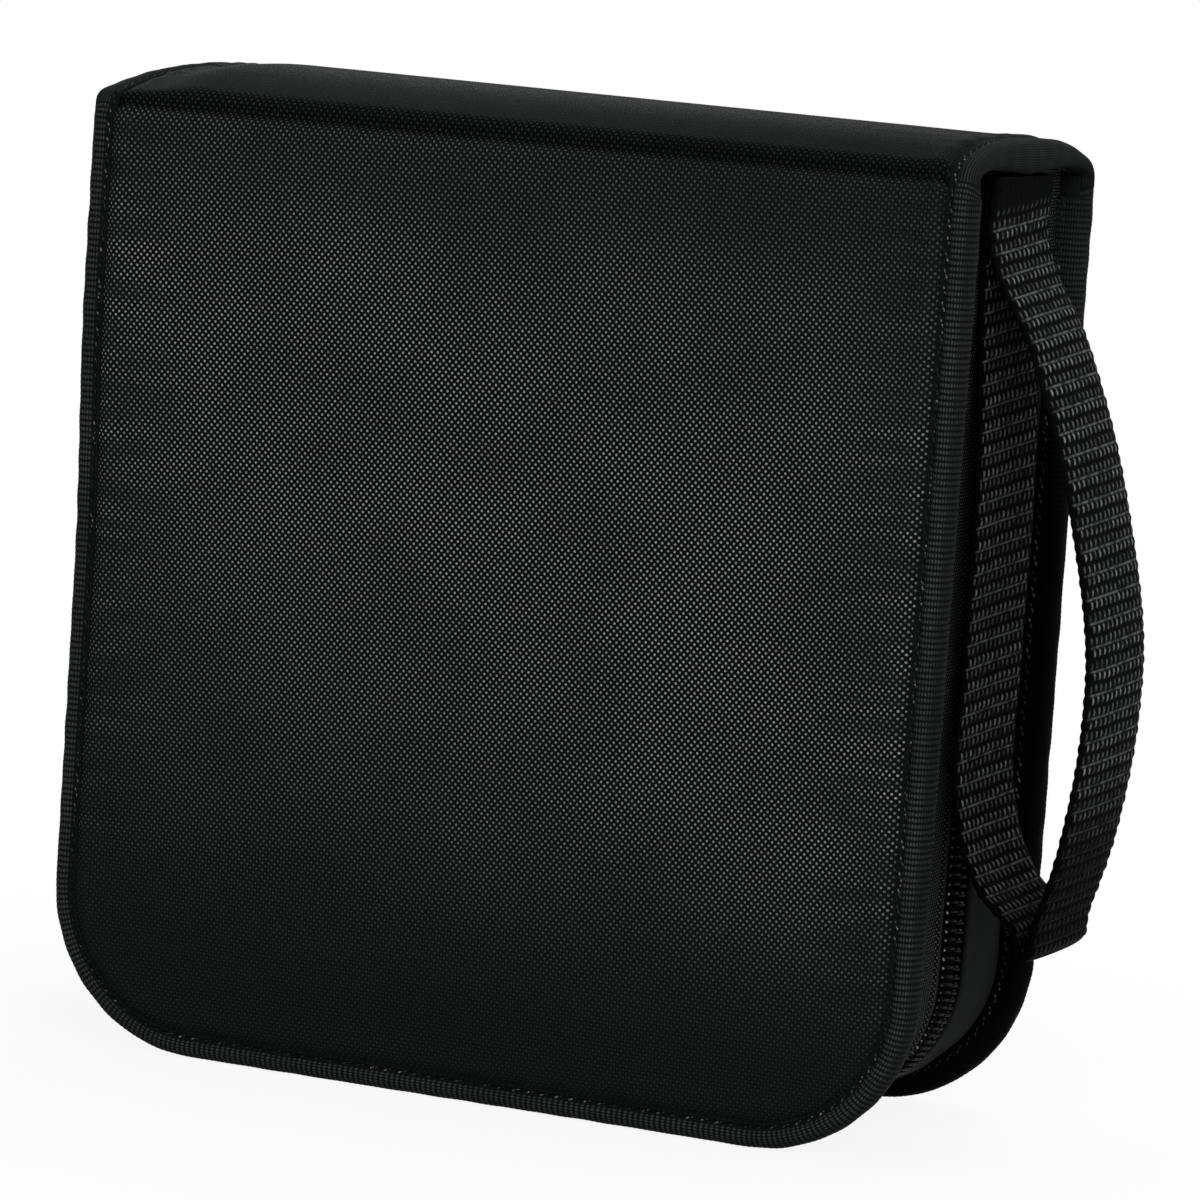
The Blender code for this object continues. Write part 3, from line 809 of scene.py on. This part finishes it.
class CASE_OT_edge_tape(bpy.types.Operator):
    """Ribbed tape folded round the edge of the outer cloth"""
    bl_idname = "disc_case.edge_tape"
    bl_label = "Edge Tape"

    def execute(self, context):
        sizes = context.scene.case_tape
        radius = context.scene.case_cover.corner_radius
        looks = {}
        # The back tape has the painted shadow low down; the front tape has none
        for name, title, low_light in (("front", "edge_tape", 1.0), ("back", "edge_tape_painted_shadow", 0.0)):
            looks[name] = cloth_look(
                title, ribbed_weave, sizes.dark, sizes.bright, sizes.yarn_width, sizes.rib_pitch,
                relief=0.00008, roughness=0.55,
                shade=lambda tree: tape_shade(tree, sizes, radius, low_light))
        profile = tape_profile()
        reach = rim_length(radius, section.length)
        columns, rows = 32, 3 * round(2 * reach / sizes.rib_pitch)
        ribs_end = sizes.rib_pitch * (round(rim_length(radius, crease_mark) / sizes.rib_pitch) + 0.22)
        sag_depth, sag_grain = 0.00014, 0.006
        for name, side in sides.items():
            def place(share_across, share_along, side=side):
                mark = (2.0 * share_along - 1.0) * reach * side
                inset, depth = profile.at(share_across * profile.length)
                way_in, way_deep = profile.way(share_across * profile.length)
                across, up, in_across, in_up = rim(mark, radius)
                ribbed = 1.0 - smooth_step(up, crease_mark - 0.001, crease_mark + 0.003)
                ribbed *= smooth_step(share_across, 0.13, 0.17)
                ribbed *= 1.0 - 0.5 * smooth_step(share_across, 0.27, 0.33)
                rib = sizes.rib_height * ribbed * np.abs(np.sin(math.pi * mark / sizes.rib_pitch))
                sag = sag_depth * wave(mark, depth, sag_grain, side)
                inset = inset - (rib + sag) * way_deep
                depth = edge_depth(up, depth + (rib + sag) * way_in)
                point = fold(side, across + inset * in_across, up + inset * in_up, depth)
                laid = np.clip(mark, -ribs_end, ribs_end)
                return point, (share_across * profile.length, laid)
            piece = finish_piece(name + "_edge_tape", shaped_grid(columns, rows, place), looks[name])
            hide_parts(name + "_cover_binding", "spine_binding_left",
                        "spine_binding_right")
            bend_with_spine(piece)
        return {"FINISHED"}


class CASE_OT_edge_stitches(bpy.types.Operator):
    """Seam that holds the edge tape, seen on the outside and the inside of the covers"""
    bl_idname = "disc_case.edge_stitches"
    bl_label = "Edge Stitches"

    def execute(self, context):
        sizes = context.scene.case_tape
        radius = context.scene.case_cover.corner_radius
        look = thread_look("sewing_thread", sizes.thread_tint)
        reach = rim_length(radius, section.length)
        count = round(2 * reach / sizes.stitch_pitch)
        slant = 0.00018
        outside, inside = 0.00084, 0.00712
        ball = make_bead()
        for name, side in sides.items():
            shape = bmesh.new()
            for number in range(count):
                middle = ((number + 0.5) / count * 2.0 - 1.0) * reach
                for depth in (outside, inside):
                    for loop in (-1.0, 1.0):
                        ends = []
                        for way in (-1.0, 1.0):
                            across, up, in_across, in_up = rim(
                                middle + (loop * sizes.stitch_gap + way * sizes.stitch_length) / 2,
                                radius)
                            inset = sizes.stitch_inset + (loop + way) * slant
                            ends.append(fold(side, across + inset * in_across,
                                             up + inset * in_up, edge_depth(up, depth)))
                        add_copy(shape, ball, stretched(*ends, sizes.thread_radius))
            piece = finish_piece(name + "_edge_stitches", shape, look)
            bend_with_spine(piece)
        bpy.data.meshes.remove(ball)
        return {"FINISHED"}


def around(side, mark, radius, inset, out):
    """Point on the gusset's wall: round the case by mark, in from the outline, out from the middle."""
    across, up, in_across, in_up = rim(mark, radius)
    point = (case_x + across + inset * in_across, side * out, up + inset * in_up)
    return np.stack(np.broadcast_arrays(*point), axis=-1)


class CASE_OT_gusset(bpy.types.Operator):
    """Cloth walls between the covers and the zip, and the panels that close them under the spine"""
    bl_idname = "disc_case.gusset"
    bl_label = "Gusset"

    def execute(self, context):
        sizes = context.scene.case_gusset
        radius = context.scene.case_cover.corner_radius
        looks = {
            "front": cloth_look("gusset_cloth", plain_weave, sizes.dark, sizes.bright,
                                across=0.00052, along=0.00055, relief=0.00010, roughness=0.55),
            # The back wall: the front wall's cloth in painted light, with a finer, flatter weave
            "back": cloth_look("gusset_cloth_painted_light", plain_weave, sizes.back_wall_painted_shade,
                               sizes.back_wall_painted_crown, across=0.00026, along=0.00026, relief=0.00004,
                               roughness=0.55)}
        reach = rim_length(radius, gusset_high.z)
        outer, inner = -gusset_low.y, -gusset_high.y
        crease_depth, crease_grain = 0.0005, 0.011
        for name, side in sides.items():
            def place(share_across, share_along, side=side):
                out = outer + (inner - outer) * share_across
                mark = (2.0 * share_along - 1.0) * reach * -side
                bulge = sizes.bulge * np.sin(math.pi * share_across)
                crease = crease_depth * wave(mark, out * 0.4, crease_grain, side + 9.0)
                hem = sizes.hem * smooth_step(share_across, 0.86, 0.90)
                inset = sizes.inset - bulge - crease * np.sin(math.pi * share_across) - hem
                return around(side, mark, radius, inset, out), (out, mark)
            piece = finish_piece(name + "_gusset_wall", shaped_grid(20, 360, place), looks[name])
            thicken(piece, sizes.thickness)
            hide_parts(name + "_gusset")
            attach(piece, name)
        for name, way in (("left", -1.0), ("right", 1.0)):
            low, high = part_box("gusset_end_" + name)
            place = self.end_panel(way, low, high)
            piece = finish_piece("gusset_end_panel_" + name, shaped_grid(60, 20, place),
                                 looks["front"])
            thicken(piece, sizes.thickness)
            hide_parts("gusset_end_" + name)
            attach(piece, "spine")
        return {"FINISHED"}

    def end_panel(self, way, low, high):
        """Form of the panel at one end of the spine: wider and arched at its top."""
        foot, flare, arch, inset = low.z - 0.0018, 0.0045, 0.0045, 0.0050
        hem_height, pucker_depth, pucker_grain = 0.0003, 0.0004, 0.007

        def place(share_across, share_up):
            half = high.y + flare * smooth_step(share_up, 0.30, 0.60)
            out = (2.0 * share_across - 1.0) * half * way
            top = crease_z + arch * (1.0 - (out / half_depth) ** 2)
            up = foot + (top - foot) * share_up
            hem = hem_height * (1.0 - smooth_step(share_up, 0.10, 0.14))
            pucker = pucker_depth * wave(out, up, pucker_grain, way) * np.sin(math.pi * share_up)
            reach = way * (half_width - inset + hem + pucker)
            return np.stack((case_x + reach, out, up), axis=-1), (out, up)

        return place


class CASE_OT_zip(bpy.types.Operator):
    """Zip tapes and the two rows of coiled teeth, closed all the way round"""
    bl_idname = "disc_case.zip"
    bl_label = "Zip"

    def execute(self, context):
        sizes = context.scene.case_zip
        radius = context.scene.case_cover.corner_radius
        look = cloth_look("zip_tape", plain_weave, sizes.tape_dark, sizes.tape_bright,
                          across=0.00022, along=0.00022, relief=0.00008, roughness=0.6)
        coil = moulded_look("coil", sizes.tint, roughness=0.40, gloss=0.014)
        thread = thread_look("coil_thread", sizes.thread_tint)
        reach = rim_length(radius, gusset_high.z)
        for name, side in sides.items():
            low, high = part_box(name + "_zip_tape")
            near, far = min(abs(low.y), abs(high.y)), max(abs(low.y), abs(high.y))
            def place(share_across, share_along, side=side, near=near, far=far):
                out = far + (near - far) * share_across
                mark = (2.0 * share_along - 1.0) * reach * -side
                return around(side, mark, radius, sizes.tape_inset, out), (out, mark)
            piece = finish_piece(name + "_zip_tape_cloth", shaped_grid(6, 300, place), look)
            thicken(piece, sizes.tape_thickness)
            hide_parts(name + "_zip_tape")
            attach(piece, name)
            teeth, seam = self.make_row(side, reach, radius, sizes)
            stitches = finish_piece(name + "_coil_stitches", seam, thread)
            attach(stitches, name)
            piece = finish_piece(name + "_coil_row", teeth, coil)
            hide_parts(name + "_zip_coil", *(["front_zip_end"] if name == "front" else []))
            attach(piece, name)
        return {"FINISHED"}

    def make_row(self, side, reach, radius, sizes):
        """One row of coil, with a loop of filament for each tooth, and the seam beside it."""
        teeth, seam = bmesh.new(), bmesh.new()
        tooth, ball = coil_tooth(sizes.wire_radius), make_bead()
        tooth_out, seam_out, seam_radius, half_stitch = 0.0016, 0.0034, 0.00024, 1.3
        phase = 0.25 if side < 0 else 0.75
        for number in range(int(2 * reach / sizes.tooth_pitch)):
            mark = (number + phase) * sizes.tooth_pitch - reach
            in_across, in_up = rim(mark, radius)[2:]
            outward = Vector((-in_across, 0.0, -in_up))
            cross = Vector((0.0, side, 0.0))
            middle = Vector(around(side, mark, radius, sizes.tooth_inset, tooth_out))
            turn = Matrix((cross.cross(outward), cross, outward)).transposed().to_4x4()
            add_copy(teeth, tooth, Matrix.Translation(middle) @ turn)
            ends = [around(side, mark + way * seam_radius, radius, sizes.tooth_inset, seam_out)
                    for way in (-half_stitch, half_stitch)]
            add_copy(seam, ball, stretched(*ends, seam_radius))
        bpy.data.meshes.remove(tooth)
        bpy.data.meshes.remove(ball)
        return teeth, seam


def coil_tooth(wire):
    """Flat loop of filament across the chain, leaning as a coil's turns do."""
    bend, half_run, slope = 0.00055, 0.0012, 0.16
    joined, centred = 0.00002, 1e-7
    shape = bmesh.new()
    ring = bmesh.ops.create_circle(shape, segments=6, radius=wire,
                                   matrix=Matrix.Translation((0.0, 0.0, bend)) @
                                   Matrix.Rotation(math.pi / 2, 4, "X"))
    edges = list({edge for vert in ring["verts"] for edge in vert.link_edges})
    bmesh.ops.spin(shape, geom=edges, cent=(0.0, 0.0, 0.0), axis=(1.0, 0.0, 0.0),
                   angle=2 * math.pi, steps=10, use_merge=True)
    bmesh.ops.remove_doubles(shape, verts=shape.verts, dist=joined)
    for vert in shape.verts:
        vert.co.y += math.copysign(half_run, vert.co.y) if abs(vert.co.y) > centred else 0.0
        vert.co.x += vert.co.y * slope
    bmesh.ops.recalc_face_normals(shape, faces=shape.faces)
    return mesh_from("coil_tooth", shape)


class CASE_OT_strap(bpy.types.Operator):
    """Wrist strap of heavy webbing, hanging as a loop from the spine's right end"""
    bl_idname = "disc_case.strap"
    bl_label = "Wrist Strap"

    def execute(self, context):
        sizes = context.scene.case_strap
        route = strap_route()
        half = (strap_high.y - strap_low.y) / 2
        thick = sizes.thickness / 2
        columns, rows = 44, 5 * round(route.length / sizes.row_pitch)
        joined, edge_drop = 0.00001, 0.0003
        outline = Route(rounded([(-half, 0.0), (-half, thick), (0.0, thick), (half, thick),
                                 (half, -thick), (0.0, -thick), (-half, -thick), (-half, 0.0)]),
                        reach=2)
        look = cloth_look("webbing", webbing_weave, sizes.dark, sizes.bright, sizes.warp_pitch,
                          sizes.row_pitch, relief=0.00018, roughness=0.45, slub=0.35, gloss=0.001,
                          shade=lambda tree: strap_shade(tree, sizes, outline.length, route.length))

        def place(share_round, share_along):
            mark = share_along * route.length
            across, height = route.at(mark)
            way_across, way_up = route.way(mark)
            over, out = outline.at(share_round * outline.length)
            way_over, way_out = outline.way(share_round * outline.length)
            laid = mark + sizes.skew * over * (1.0 - 2.0 * share_along)
            weft = np.sin(math.pi * laid / sizes.row_pitch)
            rib = sizes.relief * (np.abs(weft) * np.where(weft > 0.0, 1.0, 0.7) - 0.5)
            over = over - way_out * rib * 0.5
            out = out + way_over * rib - edge_drop * (over / half) ** 2
            point = (across - way_up * out, over, height + way_across * out)
            return np.stack(point, axis=-1), (share_round * outline.length, laid)

        shape = shaped_grid(columns, rows, place)
        bmesh.ops.remove_doubles(shape, verts=shape.verts, dist=joined)
        bmesh.ops.recalc_face_normals(shape, faces=shape.faces)
        piece = finish_piece("wrist_strap_webbing", shape, look)
        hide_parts("wrist_strap")
        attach(piece, "spine")
        return {"FINISHED"}


def strap_shade(tree, sizes, girth, length):
    """Yarn colours of the strap: painted highlights on the crest lines, plain dark edges, painted shade
    at the bend and the sewn ends, and painted light on the outer length.
    """
    plain_edge, sewn_end_shade, crest_highlight_width = (0.0008, 0.0022), (0.0040, 0.0070), (0.00005, 0.00034)
    bend_at, bend_shade_reach, bend_shade_level = 0.47 * length, (0.03 * length, 0.11 * length), 0.12
    lit_outer_reach, crest_highlight = (0.34 * length, 0.46 * length), 0.42
    yarn_scale, yarn_grain, yarn_shine = 620.0, (0.34, 0.62), (0.22, 1.0)

    across, along = split_place(tree, cloth_place(tree))
    edge = ramp(tree, calc(tree, "PINGPONG", across, girth / 4), *plain_edge)
    # Painted shade at the sewn ends, under the spine's arch
    end = ramp(tree, calc(tree, "PINGPONG", along, length / 2), *sewn_end_shade)
    past = calc(tree, "ABSOLUTE", calc(tree, "SUBTRACT", along, bend_at))
    # Painted shade in the bend of the fold
    bend = ramp(tree, past, *bend_shade_reach, bend_shade_level, 1.0)
    uneven = ramp(tree, noise(tree, cloth_place(tree), yarn_scale, 1.0), *yarn_grain, *yarn_shine)
    shown = product(tree, edge, end, bend, uneven)
    # Painted light: the outer length is paler between its yarns than the inner one
    outer = ramp(tree, along, *lit_outer_reach, 1.0, 0.0)
    dark = blend_colour(tree, outer, sizes.dark, scaled(sizes.dark, 2.0))
    # Painted highlights along the crests of the weft rows
    line = ramp(tree, calc(tree, "PINGPONG", along, sizes.row_pitch), *crest_highlight_width, crest_highlight, 0.0)
    dark = blend_colour(tree, calc(tree, "MULTIPLY", line, shown), dark, sizes.bright)
    return dark, blend_colour(tree, shown, scaled(sizes.dark, 1.2), sizes.bright)


def strap_route():
    """Middle line of the strap, from its outer sewn end round the fold to its inner one."""
    thickness, sewn = 0.0016, 0.0110
    wall_inset, wall_gap = 0.0040, 0.0013
    panel_inset, panel_gap, layer_gap, rib_room = 0.0050, 0.0003, 0.0001, 0.0012
    inner = half_width - wall_inset + wall_gap + thickness / 2
    sewn_inner = half_width - panel_inset + thickness / 2 + panel_gap
    sewn_outer = sewn_inner + thickness + layer_gap
    outer = strap_high.x - case_x - thickness / 2
    bow = outer - inner
    drop = crease_z - strap_low.z - thickness / 2 - rib_room
    shares = ((0.39, 0.225), (0.785, 0.425), (1.0, 0.645), (0.905, 0.835), (0.73, 0.955),
              (0.64, 1.0), (0.545, 0.968), (0.24, 0.915), (0.03, 0.82), (0.0, 0.64), (0.0, 0.42))
    line = [(sewn_outer, 0.0), (sewn_outer, -sewn)]
    line += [(inner + bow * across, -drop * down) for across, down in shares]
    line += [(sewn_inner, -sewn), (sewn_inner, 0.0)]
    path = bpy.data.curves.new("strap_path", "CURVE")
    path.dimensions = "2D"
    path.resolution_u = 16
    spline = path.splines.new("BEZIER")
    spline.bezier_points.add(len(line) - 1)
    for point, (across, height) in zip(spline.bezier_points, line):
        point.co = (case_x + across, crease_z + height, 0.0)
        point.handle_left_type = "AUTO"
        point.handle_right_type = "AUTO"
    widest = max(spline.bezier_points, key=lambda point: point.co.x)
    handle = Vector((0.0, drop * 0.07, 0.0))
    widest.handle_left_type = "FREE"
    widest.handle_right_type = "FREE"
    widest.handle_left = widest.co + handle
    widest.handle_right = widest.co - handle
    guide = add_object("strap_path", path)
    bpy.context.view_layer.update()
    flat = bpy.data.meshes.new_from_object(
        guide.evaluated_get(bpy.context.evaluated_depsgraph_get()))
    points = [tuple(vert.co[:2]) for vert in flat.vertices]
    bpy.data.objects.remove(guide)
    bpy.data.curves.remove(path)
    bpy.data.meshes.remove(flat)
    return Route(points)


class CASE_OT_inside(bpy.types.Operator):
    """Linings of the covers and the spine, and the finishes of what lies inside"""
    bl_idname = "disc_case.inside"
    bl_label = "Inside"

    def execute(self, context):
        sizes = context.scene.case_inside
        radius = context.scene.case_cover.corner_radius
        look = cloth_look("lining", plain_weave, sizes.dark, sizes.bright, across=0.00020,
                          along=0.00020, relief=0.00006, roughness=0.55)
        half, top = half_width - sizes.edge, crease_z - 0.0004
        puff_height, ripple_height, ripple_grain = 0.0003, 0.0002, 0.03
        for name, side in sides.items():
            def place(share_across, share_up, side=side):
                across = (2.0 * share_across - 1.0) * half * side
                up = sizes.edge + share_up * (top - sizes.edge)
                across, up = round_corner(across, up, half, sizes.edge, radius - sizes.edge)
                inset = edge_distance(across, up, radius)
                puff = puff_height * smooth_step(inset, 0.004, 0.012)
                ripple = ripple_height * wave(across, up, ripple_grain, side + 2.0)
                out = half_depth - sizes.depth - puff - ripple
                return np.stack((case_x + across, side * out, up), axis=-1), (across, up)
            piece = finish_piece(name + "_lining_cloth", shaped_grid(60, 60, place), look)
            thicken(piece, sizes.thickness)
            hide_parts(name + "_cover_lining")
            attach(piece, name)
        shape = flat_panel("spine_lining", cuts=(60, 24), lift=0.0003, ripple=0.0002, grain=0.02,
                           seed=7.0)
        piece = finish_piece("spine_lining_cloth", shape, look)
        thicken(piece, sizes.thickness)
        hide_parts("spine_lining")
        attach(piece, "spine")
        # Boards coloured near black as painted shade
        board = moulded_look("board", sizes.shaded_board_tint, roughness=0.8, scale=500.0, gloss=0.01)
        for node in ("front_cover_board", "back_cover_board", "spine_board"):
            repaint(node, board)
        return {"FINISHED"}


def flat_panel(node, cuts, lift, ripple, grain, seed):
    """Level, slightly rippled sheet in the place of a flat lining or strip."""
    low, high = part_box(node)

    def place(share_across, share_along):
        across = low.x + (high.x - low.x) * share_across
        out = high.y + (low.y - high.y) * share_along
        sag = ripple * wave(across, out, grain, seed)
        return np.stack((across, out, low.z + lift + sag), axis=-1), (across, out)

    return shaped_grid(*cuts, place)


class CASE_OT_sleeves(bpy.types.Operator):
    """Leaves of cloth with a clear pocket on each face, and the strip that they are sewn to"""
    bl_idname = "disc_case.sleeves"
    bl_label = "Sleeves"

    def execute(self, context):
        sizes = context.scene.case_sleeves
        low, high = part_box("disc_sleeves")
        half, foot, root = (high.x - low.x) / 2, low.z, high.z
        pitch = (high.y - low.y) / sizes.leaf_count
        mouth = root - sizes.mouth_drop
        sway_width, film_gap, film_bulge = 0.0002, 0.00022, 0.00045
        cloth = cloth_look("sleeve_cloth", plain_weave, sizes.dark, sizes.bright,
                           across=0.00025, along=0.00025, relief=0.00003, roughness=0.8)
        film = moulded_look("sleeve_film", sizes.film_tint, roughness=0.16, scale=160.0,
                            relief=0.0002)
        film.node_tree.nodes["Principled BSDF"].inputs["Alpha"].default_value = sizes.film_alpha
        backs, films = bmesh.new(), bmesh.new()
        for number in range(sizes.leaf_count):
            middle = low.y + pitch * (number + 0.5)

            def place_back(share_across, share_up, middle=middle, number=number):
                across = (2.0 * share_across - 1.0) * half
                across, up = round_corner(across, foot + (root - foot) * share_up, half, foot,
                                          sizes.corner_radius)
                sway = sway_width * wave(across, up, 0.05, number) * (1.0 - share_up)
                return np.stack(np.broadcast_arrays(case_x + across, middle + sway, up), -1), (
                    across, up)

            shaped_grid(20, 20, place_back, backs)
            for face in (-1.0, 1.0):
                def place_film(share_across, share_up, middle=middle, face=face):
                    width, base = half - sizes.seam, foot + sizes.seam
                    across = (2.0 * share_across - 1.0) * width
                    notch = np.sqrt(np.maximum(sizes.notch_radius ** 2 - across ** 2, 0.0))
                    across, up = round_corner(across, base + (mouth - notch - base) * share_up,
                                              width, base, sizes.corner_radius)
                    bulge = np.sin(math.pi * share_across) * np.sin(math.pi * share_up * 0.8)
                    out = middle + face * (film_gap + film_bulge * np.clip(bulge, 0.0, 1.0) ** 0.3)
                    return np.stack(np.broadcast_arrays(case_x + across, out, up), -1), (across, up)
                shaped_grid(24, 16, place_film, films)
        pieces = (finish_piece("sleeve_backs", backs, cloth),
                  finish_piece("sleeve_pockets", films, film))
        for piece in pieces:
            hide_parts("disc_sleeves")
            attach(piece, "spine")
        thicken(pieces[0], sizes.leaf_thickness)
        shape = flat_panel("sleeve_strip", cuts=(60, 20), lift=0.0001, ripple=0.00015, grain=0.012,
                           seed=3.0)
        strip = finish_piece("sleeve_strip_tape", shape, cloth)
        thicken(strip, sizes.strip_thickness)
        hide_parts("sleeve_strip")
        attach(strip, "spine")
        return {"FINISHED"}


class CASE_OT_slider(bpy.types.Operator):
    """Enamel on the zip's slider and its pull tab"""
    bl_idname = "disc_case.slider"
    bl_label = "Slider"

    def execute(self, context):
        look = moulded_look("slider_enamel", context.scene.case_zip.slider_tint, roughness=0.32,
                            scale=1500.0, metallic=0.6)
        for node in ("zip_slider", "zip_pull_tab"):
            repaint(node, look)
        return {"FINISHED"}


class CASE_OT_stage(bpy.types.Operator):
    """Camera, pale floor and soft lamps"""
    bl_idname = "disc_case.stage"
    bl_label = "Stage"

    def execute(self, context):
        stage = context.scene.case_stage
        view = context.scene.view_settings
        view.view_transform = "Standard"
        self.make_camera(stage)
        self.make_floor(stage)
        self.make_world(stage)
        self.make_lamp("key_lamp", stage.key_place, stage.lamp_width, stage.key)
        self.make_lamp("top_lamp", stage.top_place, stage.lamp_width, stage.top)
        return {"FINISHED"}

    def make_camera(self, stage):
        level = math.cos(stage.elevation)
        back = Vector((math.sin(stage.azimuth) * level, -math.cos(stage.azimuth) * level,
                       math.sin(stage.elevation)))
        right = Vector((math.cos(stage.azimuth), math.sin(stage.azimuth), 0.0))
        turn = Matrix((right, back.cross(right), back)).transposed()
        turn = turn @ Matrix.Rotation(stage.roll, 3, "Z")
        data = bpy.data.cameras.new("camera")
        data.lens = stage.lens
        data.sensor_width = 36.0
        camera = add_object("camera", data)
        camera.matrix_world = Matrix.Translation(
            Vector(stage.target) + back * stage.distance) @ turn.to_4x4()
        bpy.context.scene.camera = camera

    def make_floor(self, stage):
        """Pale floor that shows a soft shadow near the case and white farther off."""
        shape = bmesh.new()
        bmesh.ops.create_grid(shape, x_segments=1, y_segments=1, size=stage.floor_width)
        mesh = mesh_from("floor", shape)
        floor = add_object("floor", mesh)
        floor.location.z = min(corner[2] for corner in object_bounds())
        look, tree, shader = new_look("floor")
        shader.inputs["Base Color"].default_value = (*stage.floor_colour, 1.0)
        shader.inputs["Roughness"].default_value = 0.9
        white, full = (1.0, 1.0, 1.0, 1.0), 1.0
        shadow_fade, shadow_white = (0.10, 0.22), 0.90
        glow = add_node(tree, "ShaderNodeEmission", white, full)
        place = tree.nodes.new("ShaderNodeTexCoord").outputs["Object"]
        away = add_node(tree, "ShaderNodeVectorMath", place, operation="LENGTH", output=1)
        clear = ramp(tree, away, *shadow_fade, shadow_white, 1.0)
        shadow = add_node(tree, "ShaderNodeMixShader", clear, shader.outputs[0], glow)
        seen = self.seen_rays(tree)
        tree.links.new(add_node(tree, "ShaderNodeMixShader", seen, shader.outputs[0], shadow),
                       tree.nodes["Material Output"].inputs["Surface"])
        mesh.materials.append(look)
        floor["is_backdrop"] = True

    def seen_rays(self, tree):
        """One for rays that see the background: from the camera, and off gloss and glass."""
        path = tree.nodes.new("ShaderNodeLightPath").outputs
        both = calc(tree, "MAXIMUM", path["Is Camera Ray"], path["Is Glossy Ray"])
        return calc(tree, "MAXIMUM", both, path["Is Transmission Ray"])

    def make_world(self, stage):
        world = bpy.context.scene.world or bpy.data.worlds.new("world")
        bpy.context.scene.world = world
        world.use_nodes = True
        tree = world.node_tree
        background = tree.nodes["Background"]
        background.inputs["Color"].default_value = (1.0, 1.0, 1.0, 1.0)
        strength = ramp(tree, self.seen_rays(tree), 0.0, 1.0, stage.fill, 1.0)
        tree.links.new(strength, background.inputs["Strength"])

    def make_lamp(self, name, place, width, power):
        data = bpy.data.lights.new(name, "AREA")
        data.size = width
        data.energy = power
        lamp = add_object(name, data)
        lamp.location = place
        aim = Vector((0.0, 0.0, crease_z / 2)) - Vector(place)
        lamp.rotation_euler = aim.to_track_quat("-Z", "Y").to_euler()


class CASE_PT_panel(bpy.types.Panel):
    """Steps that dress the disc case"""
    bl_idname = "CASE_PT_panel"
    bl_label = "Disc Case"
    bl_space_type = "VIEW_3D"
    bl_region_type = "UI"
    bl_category = "Disc Case"

    def draw(self, context):
        for step in steps:
            self.layout.operator(step.bl_idname)
        for group in groups:
            box = self.layout.box()
            values = getattr(context.scene, group)
            for key in values.bl_rna.properties.keys():
                if key not in ("rna_type", "name"):
                    box.prop(values, key)


groups = {"case_cover": CoverSizes, "case_tape": TapeSizes, "case_gusset": GussetSizes,
          "case_zip": ZipSizes, "case_strap": StrapSizes, "case_inside": InsideSizes,
          "case_sleeves": SleeveSizes, "case_stage": StageSettings}
steps = (CASE_OT_outer_cloth, CASE_OT_edge_tape, CASE_OT_edge_stitches,
         CASE_OT_gusset, CASE_OT_zip, CASE_OT_strap, CASE_OT_inside, CASE_OT_sleeves,
         CASE_OT_slider, CASE_OT_stage)


def register():
    for made in (*groups.values(), *steps, CASE_PT_panel):
        bpy.utils.register_class(made)
    for name, group in groups.items():
        setattr(bpy.types.Scene, name, bpy.props.PointerProperty(type=group))


def unregister():
    for name in groups:
        delattr(bpy.types.Scene, name)
    for made in (CASE_PT_panel, *reversed(steps), *reversed(list(groups.values()))):
        bpy.utils.unregister_class(made)


def main():
    register()
    for step in steps:
        family, name = step.bl_idname.split(".")
        getattr(getattr(bpy.ops, family), name)()


if __name__ == "__main__":
    main()
